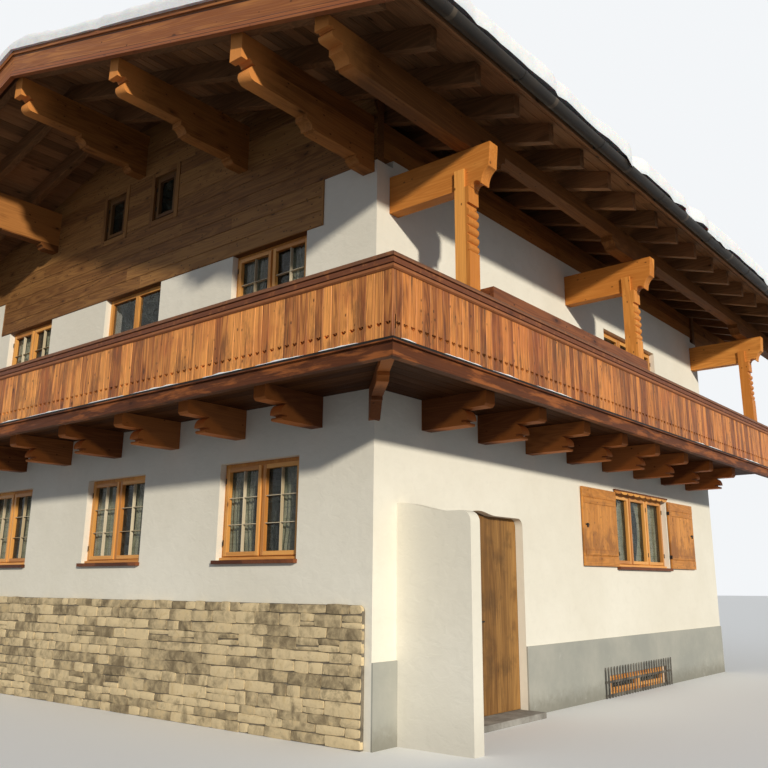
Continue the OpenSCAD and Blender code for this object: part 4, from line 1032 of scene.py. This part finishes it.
def buildGable(name, sign):
    pile = Pile(31 + sign)
    sill, head, trim, lap = gable["sill"], gable["head"], gable["trim"], gable["trimLap"]

    def place(a, z, out):
        return a, sign * (halfLength + out), z

    for z0, z1 in zip(gable["rows"], gable["rows"][1:]):
        if gableEnd(z0) <= gable["least"]:
            break
        for a0, a1, b0, b1, low, high in gableRow(z0, z1):
            breaks = [(a0, b0), (a1, b1)]
            if a1 - a0 > gable["longest"]:
                middle = pile.dice.uniform(a0 + gable["shortest"], a1 - gable["shortest"])
                breaks.insert(1, (middle, middle))
            for ends in zip(breaks, breaks[1:]):
                gableBoard(pile, place, ends, low, high)
    for left, right in gable["windows"]:         # boards round the attic windows
        for a, z in (((left - trim, left + lap), (sill - trim, head + trim)),
                     ((right - lap, right + trim), (sill - trim, head + trim)),
                     ((left + lap, right - lap), (head - lap, head + trim)),
                     ((left + lap, right - lap), (sill - trim, sill + lap))):
            pile.slab(place, a, z, (-gable["trimBack"], gable["trimThick"]), 0.004)
    inward, outward = gable["strip"]
    for side in (-1, 1):                 # corner strips beside the rendered piers
        a = [side * (gable["pier"] - inward), side * (gable["pier"] + outward)]
        depth = (-gable["stripBack"], gable["thick"] + outward)
        pile.slab(place, a, (gable["rows"][0], gable["pierTop"]), depth, along=up)
    pile.piece(name, gableLook, "gable_cladding")


gableLook = wood("gable", knots=0.45, streaks=0.7, contrast=1.4, tones=0.5, pins=0.9)
buildGable("gable_boards_front", -1)
buildGable("gable_boards_rear", 1)

# stone base

stones = {
    "half": 4.74, "top": 1.40, "radius": 0.07, "back": -5.18, "face": -5.238,
    "course": (0.080, 0.150), "leastCourse": 0.07, "length": (0.15, 0.50), "leastLength": 0.12,
    "thinFrom": 0.13, "thinShare": 0.28,         # a course this thick has two thin stones here and there
    "joint": 0.006, "bulge": 0.007, "rough": 0.007, "lean": 0.011, "corner": 0.006,
    "proud": (-0.008, 0.012),            # twice what a stone stands out
    "bed": 0.012,                        # from the stones' faces to the mortar, and into the base
    "mortarIn": 0.004,                   # from the ends of the stones to the ends of the mortar
    "seam": 0.015,                       # how far two thin stones meet off the middle
    "across": 5, "up": 4,                # points of a stone's face
}


def roundCorner(x, z):                   # the upper corners of the base are rounded
    radius, half, top = stones["radius"], stones["half"], stones["top"]
    dx, dz = abs(x) - (half - radius), z - (top - radius)
    reach = math.hypot(dx, dz)
    if dx > 0 and dz > 0 and reach > radius:
        x = math.copysign(half - radius + dx * radius / reach, x)
        z = top - radius + dz * radius / reach
    return x, z


def addStone(pile, dice, x0, x1, low, high):
    across, rows, joint = stones["across"], stones["up"], stones["joint"]
    lean = [dice.uniform(-stones["lean"], stones["lean"]) for _ in range(8)]     # four are used
    out = dice.uniform(*stones["proud"])
    points = []
    for j in range(rows):
        for i in range(across):
            f, g = i / (across - 1), j / (rows - 1)
            x = x0 + (x1 - x0) * f + lean[0] * (1 - f) * g + lean[1] * f * (1 - g)
            z = low + joint / 2 + (high - low - joint) * g + lean[2] * (1 - g) * f + lean[3] * g * (1 - f)
            onSide, onCourse = f in (0.0, 1.0), g in (0.0, 1.0)
            rise = 0.0
            if not (onSide or onCourse):
                rise = stones["bulge"] + noise.noise(Vector((x * 11, z * 11, out * 300))) * stones["rough"]
            if onSide and onCourse:
                x += stones["corner"] * (1 if f == 0 else -1)
                z += stones["corner"] * (1 if g == 0 else -1)
            x, z = roundCorner(x, max(z, 0.001))
            points.append((x, stones["face"] - out * 0.5 - rise, z))
    rim = gridRim(across, rows)
    behind = list(range(len(points), len(points) + len(rim)))
    points += [(points[k][0], stones["back"] - stones["bed"], points[k][2]) for k in rim]
    pile.add(points, gridFaces(across, rows) + band(rim, behind) + [behind])


def buildStones():
    dice = random.Random(41)
    pile, bed = Pile(42), Pile(43)
    half, top, radius = stones["half"], stones["top"], stones["radius"]
    courses = []
    z = 0.0
    while z < top - 0.05:
        height = dice.uniform(*stones["course"])
        if top - z - height < stones["leastCourse"]:
            height = top - z
        courses.append((z, min(top, z + height)))
        z += height
    for z0, z1 in courses:
        x = -half
        while x < half - 0.01:
            width = dice.uniform(*stones["length"]) * (0.7 + (z1 - z0) * 3)
            if half - x - width < stones["leastLength"]:
                width = half - x
            splits = [(z0, z1)]
            if z1 - z0 > stones["thinFrom"] and dice.random() < stones["thinShare"]:
                middle = (z0 + z1) / 2 + dice.uniform(-stones["seam"], stones["seam"])
                splits = [(z0, middle), (middle, z1)]
            for low, high in splits:
                addStone(pile, dice, x + stones["joint"] / 2, x + width - stones["joint"] / 2, low, high)
            x += width
    pile.piece("stone_base_stones", finishes["stones"], "coursed_stone", smooth=50)
    half, top = half - stones["mortarIn"], top - stones["mortarIn"]
    face = stones["face"] + stones["bed"]        # the mortar lies a little behind the stones
    turns = [(radius * math.cos(angle), radius * math.sin(angle)) for angle in np.linspace(0, math.pi / 2, 7)]
    outline = [(-half, 0.0), (half, 0.0)] + [(half - radius + a, top - radius + b) for a, b in turns]
    outline += [(-half + radius - b, top - radius + a) for a, b in turns]
    bed.prism(outline, lambda a, b, d: (a, stones["back"] + (face - stones["back"]) * d, b))
    bed.piece("stone_base_mortar", finishes["mortar"], "coursed_stone", replaces=["stone_base"])


buildStones()

# windows: sashes, bars, curtains, shutters

windowKinds = {                          # width, low, high, lights, depth of the frame's face in the wall
    "longLower": (2.12, 1.88, 3.06, 3, 0.090),
    "longUpper": (2.12, 4.70, 5.80, 3, 0.090),
    "lower": (1.40, 1.88, 3.06, 2, 0.090),
    "upper": (1.40, 4.70, 5.87, 2, 0.090),
    "attic": (0.54, 6.89, 7.63, 1, 0.027),
    "cellar": (2.10, 0.025, 0.305, 2, 0.035),
}
windows = []                             # kind, middle, axis and sign of the wall
for sign in (-1, 1):
    windows += [("longLower", 1.81, "x", sign), ("longUpper", 1.81, "x", sign)]
    for middle in (-2.99, 2.99):
        windows += [("lower", middle, "y", sign), ("upper", middle, "y", sign)]
    windows.append(("lower", 0.0, "y", sign))
    windows += [("attic", middle, "y", sign) for middle in (-0.64, 0.64)]
windows.append(("upper", 0.0, "y", 1))   # in front the balcony door takes this place
windows.append(("cellar", 1.27, "x", 1))
livingKinds = ("longLower", "longUpper", "lower", "upper")       # with curtains and a weather strip

sash = {
    "frame": 0.062, "stile": 0.052, "proud": 0.022, "lap": 0.012, "back": 0.034,
    "bar": 0.006, "crossBar": 0.7,       # half width of the upright bar, and the cross bars' share of it
    "railIn": 0.001, "barIn": 0.008, "crossIn": 0.012,   # behind the stiles' face
    "knuckle": (0.006, 0.035), "knuckleFrom": 0.16, "knuckleOff": 0.004, "knuckleOut": (-0.010, 0.006),
    "strip": (0.004, 0.034), "stripEnd": 0.01, "stripOut": (-0.045, 0.01),       # the weather strip
}
curtain = {
    "cover": {"x": 0.44, "y": 0.34},     # share of the window that a panel covers
    "side": 0.02, "ends": 0.05, "behind": 0.115, "fold": 0.085, "swing": 0.020, "pinch": 0.12, "rows": 10,
}


def buildWindows():
    wooden, bars, iron = Pile(51), Pile(52), Pile(53)
    stile, bar, cross = sash["stile"], sash["bar"], sash["bar"] * sash["crossBar"]
    for kind, middle, axis, sign in windows:
        width, low, high, lights, depth = windowKinds[kind]
        place = wallPlace(axis, sign, middle)
        frameWidth, lap = sash["frame"], sash["lap"]
        face, back = depth - sash["proud"], depth + sash["back"]
        light = (width - frameWidth * (lights + 1)) / lights
        z0, z1 = low + frameWidth - lap, high - frameWidth + lap
        for i in range(lights):
            a0 = -width / 2 + frameWidth + i * (light + frameWidth) - lap
            a1 = a0 + light + 2 * lap
            wooden.slab(place, (a0, a0 + stile), (z0, z1), (face, back), along=up)
            wooden.slab(place, (a1 - stile, a1), (z0, z1), (face, back), along=up)
            for ends in ((z0, z0 + stile), (z1 - stile, z1)):
                wooden.slab(place, (a0 + stile, a1 - stile), ends, (face + sash["railIn"], back))
            if axis == "y" and lights == 2:      # upright bar and two thin cross bars
                centre = (a0 + a1) / 2
                bars.slab(place, (centre - bar, centre + bar), (z0 + stile, z1 - stile),
                          (face + sash["barIn"], back), along=up)
                for k in (1, 2):
                    z = z0 + stile + (z1 - z0 - 2 * stile) * k / 3
                    bars.slab(place, (a0 + stile, a1 - stile), (z - cross, z + cross),
                              (face + sash["crossIn"], back))
            if kind == "cellar":         # it has no hinges in sight
                continue
            hinge = a0 - sash["knuckleOff"] if i == 0 else a1 + sash["knuckleOff"]
            wide, tall = sash["knuckle"]
            for z in (z0 + sash["knuckleFrom"], z1 - sash["knuckleFrom"]):
                iron.slab(place, (hinge - wide, hinge + wide), (z - tall, z + tall),
                          [face + off for off in sash["knuckleOut"]], 0.002)
        if kind in livingKinds:
            reach = width / 2 - sash["stripEnd"]
            wooden.slab(place, (-reach, reach), [low + rise for rise in sash["strip"]],
                        [depth + off for off in sash["stripOut"]])
    look = wood("joinery", knots=0.25, rough=0.42, coat=0.15, tint=shadedAtticFrames)
    wooden.piece("window_sashes", look, "joinery_wood")
    bars.piece("window_bars", wood("paleBar", knots=0.0, streaks=0.4), "joinery_wood")
    iron.piece("window_hinges", finishes["iron"], "wrought_iron")


def buildCurtain(index, side):
    kind, middle, axis, sign = windows[index]
    width, low, high, _, depth = windowKinds[kind]
    place = wallPlace(axis, sign, middle)
    start = side * (width / 2 - curtain["side"])
    end = side * (width / 2 - curtain["side"] - width * curtain["cover"][axis])
    folds = round(abs(end - start) / curtain["fold"])
    count, rows = folds * 8, curtain["rows"]
    drop = high - low - 2 * curtain["ends"]
    points = []
    for j in range(rows + 1):
        pinch = 1 - curtain["pinch"] * math.sin(math.pi * min(1.0, j / rows * 1.1))
        for i in range(count + 1):
            f = i / count
            swing = math.sin(2 * math.pi * folds * f + 0.8 * math.sin(index + 3 * f)) * (0.8 + 0.3 * j / rows)
            points.append(place(start + (end - start) * f * pinch, high - curtain["ends"] - drop * j / rows,
                                depth + curtain["behind"] + curtain["swing"] * swing))
    top = [Vector(point) for point in points[:count + 1]]
    length = sum((there - here).length for here, there in zip(top, top[1:]))
    pile = Pile(60 + index)
    pile.add(points, gridFaces(count + 1, rows + 1))
    name = "curtain_{}_{}".format(index, "near" if side < 0 else "far")
    made = pile.piece(name, finishes["cloth"], "window_glass", smooth=80)


def buildCurtains():
    for index, window in enumerate(windows):
        if window[0] in livingKinds:
            for side in (-1, 1):
                buildCurtain(index, side)


shutter = {
    "middle": 1.81, "halfWindow": 1.06, "beside": 0.025,
    "width": 1.15, "low": 1.875, "high": 3.040, "gap": 0.012, "thick": 0.034, "rail": 0.150,
    "batten": 0.085, "battenOff": 0.010, "battenEnd": 0.03, "proud": 0.010,
    "boards": 7, "joint": 0.0008, "hinge": 0.20, "latch": 0.11, "latchUp": 0.02,
    # the iron's spans along, up and out, and its chamfer
    "knuckle": [((-0.009, 0.009), (-0.03, 0.03), (0.004, 0.046), 0.004)],
    "catch": [((-0.055, 0.055), (-0.012, 0.012), (0.034, 0.044), 0.003),
              ((-0.010, 0.010), (-0.045, 0.020), (0.034, 0.056), 0.004)],
}


def addIron(pile, place, a, z, parts):
    for along, height, depth, chamfer in parts:
        pile.slab(place, [a + end for end in along], [z + end for end in height], depth, chamfer)


def buildShutters():
    boards, iron = Pile(71), Pile(72)
    low, high, thick, rail = (shutter[key] for key in ("low", "high", "thick", "rail"))
    batten, half, gap = shutter["batten"], shutter["width"] / 2, shutter["joint"]
    step = shutter["width"] / shutter["boards"]
    for side in (-1, 1):

        def place(y, z, out):
            return side * (halfWidth + shutter["gap"] + out), y, z

        for turn in (-1, 1):
            y = shutter["middle"] + turn * (shutter["halfWindow"] + shutter["beside"] + half)
            y0, y1 = y - half, y + half
            for z0, z1 in ((low, low + rail), (high - rail, high)):
                boards.slab(place, (y0, y1), (z0, z1 - 0.0005), (0, thick + 0.003), 0.004, along=alongY)
            for i in range(shutter["boards"]):
                boards.slab(place, (y0 + i * step + gap, y0 + (i + 1) * step - gap),
                            (low + rail + 0.001, high - rail - 0.001), (0, thick), 0.0035, along=up)
            for z in (low + rail + shutter["battenOff"], high - rail - shutter["battenOff"] - batten):
                boards.slab(place, (y0 + shutter["battenEnd"], y1 - shutter["battenEnd"]), (z, z + batten),
                            (thick - 0.002, thick + shutter["proud"]), 0.005, along=alongY, tone=0.15)
            knuckle = y - turn * (half + 0.004)  # beside the window
            for z in (low + shutter["hinge"], high - shutter["hinge"]):
                addIron(iron, place, knuckle, z, shutter["knuckle"])
            latch = y + turn * (half - shutter["latch"])
            addIron(iron, place, latch, (low + high) / 2 + shutter["latchUp"], shutter["catch"])
    look = wood("shutter", knots=0.45, streaks=0.7, rough=0.5, tones=0.35, pins=0.5, tint=rainStain)
    boards.piece("shutter_leaves", look, "joinery_wood", replaces=["shutters"])
    iron.piece("shutter_iron", finishes["iron"], "wrought_iron")


buildWindows()
buildCurtains()
buildShutters()

# entrance door

door = {
    "mid": -3.15, "half": 1.03, "bottom": 0.07, "shoulder": 2.45,
    "rise": 0.045, "crown": 0.38, "radius": 0.11,        # of the doorway's top, the last at its corners
    "inset": 0.014, "meet": 0.006, "boards": 8,
    "thick": 0.005, "joint": 0.0015, "chamfer": 0.0035, "foot": 0.012,
    "latchY": 0.075,                     # from the meeting edges
    "latch": [                           # plate, stem, lever, keyhole: spans out, along and up, chamfer
        ((0.003, 0.008), (-0.024, 0.024), (1.02, 1.26), 0.0015),
        ((0.006, 0.045), (-0.009, 0.009), (1.155, 1.175), 0.004),
        ((0.034, 0.047), (-0.010, 0.115), (1.156, 1.174), 0.005),
        ((0.006, 0.011), (-0.006, 0.006), (1.070, 1.098), 0.002),
    ],
}


def doorTop(a):                          # height of the doorway at a distance from its middle
    top = door["shoulder"] - door["inset"]
    if abs(a) < door["crown"]:
        return top + door["rise"] * (1 + math.cos(math.pi * abs(a) / door["crown"])) / 2
    radius = door["radius"]
    over = abs(a) - (door["half"] - door["inset"] - radius)
    if over > 0:
        return top - radius + math.sqrt(max(0.0, radius ** 2 - min(over, radius) ** 2))
    return top


def buildDoorLeaf(name, side, look):
    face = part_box("door_leaf_" + name)[1].x
    thick, cut, foot = door["thick"], door["chamfer"], door["bottom"] + door["foot"]
    step = (door["half"] - door["inset"] - door["meet"]) / door["boards"]
    pile = Pile(81 + side)
    for i in range(door["boards"]):
        a0 = door["meet"] + i * step + door["joint"]
        a1 = door["meet"] + (i + 1) * step - door["joint"]
        tops = [(a, doorTop(a)) for a in (a0 + (a1 - a0) * k / 6 for k in range(7))]
        outline = [(door["mid"] + side * a, b) for a, b in [(a1, foot), (a0, foot)] + tops]
        left, right = min(outline)[0], max(outline)[0]
        narrow = [(min(max(a, left + cut), right - cut), b - cut if b > 1 else b + cut) for a, b in outline]
        levels = [(face - 0.001, outline), (face + thick - cut * 0.8, outline), (face + thick, narrow)]
        pile.prism(outline, lambda a, b, x: (x, a, b), along=up, levels=levels)
    pile.piece("door_boards_" + name, look, "door_boards", body="door_" + name)
    return face


def buildDoor():
    look = wood("door", knots=0.7, streaks=0.8, contrast=1.1, rough=0.6, tones=0.6, tint=doorPatches)
    buildDoorLeaf("near", -1, look)
    face = buildDoorLeaf("far", 1, look)
    iron = Pile(86)
    for out, along, height, chamfer in door["latch"]:
        spans = [(face + out[k], door["mid"] + door["latchY"] + along[k], height[k]) for k in (0, 1)]
        iron.box(*spans, chamfer)
    iron.piece("door_latch", finishes["iron"], "wrought_iron", body="door_far")


buildDoor()

# ledges over the long windows, snow on the drip strip

ledge = {
    "ends": (0.735, 2.885), "heights": (3.072, 3.094), "depth": (0.005, -0.050),
    "scallops": 9, "first": 0.858, "step": 0.238, "half": 0.118, "curveHalf": 0.112,
    "top": 3.0735, "foot": 3.056, "drop": 0.030, "out": 0.020, "thick": 0.016,
}
stripSnow = {
    # axis, side, the two ends, and how much of it is covered
    "runs": [("y", -1, -6.1, 6.2, 0.9), ("x", 1, -6.5, 4.9, 0.6), ("x", -1, -6.5, 4.9, 0.6)],
    "length": (0.15, 1.3), "gap": (0.02, 0.35), "cell": 0.04, "width": 0.022,
    "tall": 0.012, "lump": 0.016, "rim": 0.001,          # of the snow, of what its lumps add, and of its edge
}


def buildLedges():
    pile, drops = Pile(91), Pile(92)
    curve = [math.pi * k / 10 for k in range(11)]
    for side in (-1, 1):
        wall = wallPlace("x", side)
        # painted shade and light: the dark ledge stands for shade over the window head, and the pale scallops
        # under it for the lit head between scalloped shadows
        pile.slab(wall, ledge["ends"], ledge["heights"], ledge["depth"], 0.005)
        for i in range(ledge["scallops"]):
            y = ledge["first"] + i * ledge["step"]
            arc = [(y - ledge["curveHalf"] * math.cos(t), ledge["foot"] - ledge["drop"] * math.sin(t))
                   for t in curve]
            outline = [(y - ledge["half"], ledge["top"]), *arc, (y + ledge["half"], ledge["top"])]
            drops.prism(outline, lambda a, b, d: wall(a, b, -ledge["out"] - ledge["thick"] * d), along=alongY)
    pile.piece("window_ledges", wood("rail", name="ledgeTimber", streaks=0.6), "balcony_timber")
    look = wood("joinery", name="scallopTimber", knots=0.2, streaks=0.8)
    drops.piece("window_ledge_scallops", look, "joinery_wood")


def snowPatch(pile, start, end, place):
    count = max(3, round((end - start) / stripSnow["cell"]))
    points, faces = [], []
    for i in range(count + 1):
        f = i / count
        fade = math.sin(math.pi * f) ** 0.4 if 0 < f < 1 else 0.0
        lump = abs(noise.noise(Vector((start * 3 + f * (end - start) * 9, 1.5, 0))))
        rim, wide = stripSnow["rim"], stripSnow["width"] * (0.4 + 0.6 * fade)
        tall = (stripSnow["tall"] + stripSnow["lump"] * lump) * fade + rim
        section = ((rim, 0.0), (rim, tall), (wide * 0.6, tall * 0.85), (wide, tall * 0.35), (wide, 0.0))
        points += [place(start + (end - start) * f, out, height) for out, height in section]
    rings = [list(range(first, first + 5)) for first in range(0, len(points), 5)]
    for ring, other in zip(rings, rings[1:]):
        faces += band(ring, other)
    pile.add(points, faces + [rings[0], rings[-1][::-1]])


def buildStripSnow():
    dice = random.Random(95)
    pile = Pile(96)
    for axis, side, low, high, covered in stripSnow["runs"]:

        def place(a, out, height):
            if axis == "y":
                return a, parapet["frontY"] - out, parapet["low"] + height
            return side * (parapet["sideX"] + out), a, parapet["low"] + height

        a = low
        while a < high - 0.3:
            b = min(high, a + dice.uniform(*stripSnow["length"]))
            if dice.random() < covered:
                snowPatch(pile, a, b, place)
            a = b + dice.uniform(*stripSnow["gap"])
    pile.piece("strip_snow", finishes["snow"], "roof_tiles", smooth=60)


buildLedges()
buildStripSnow()

print("done")
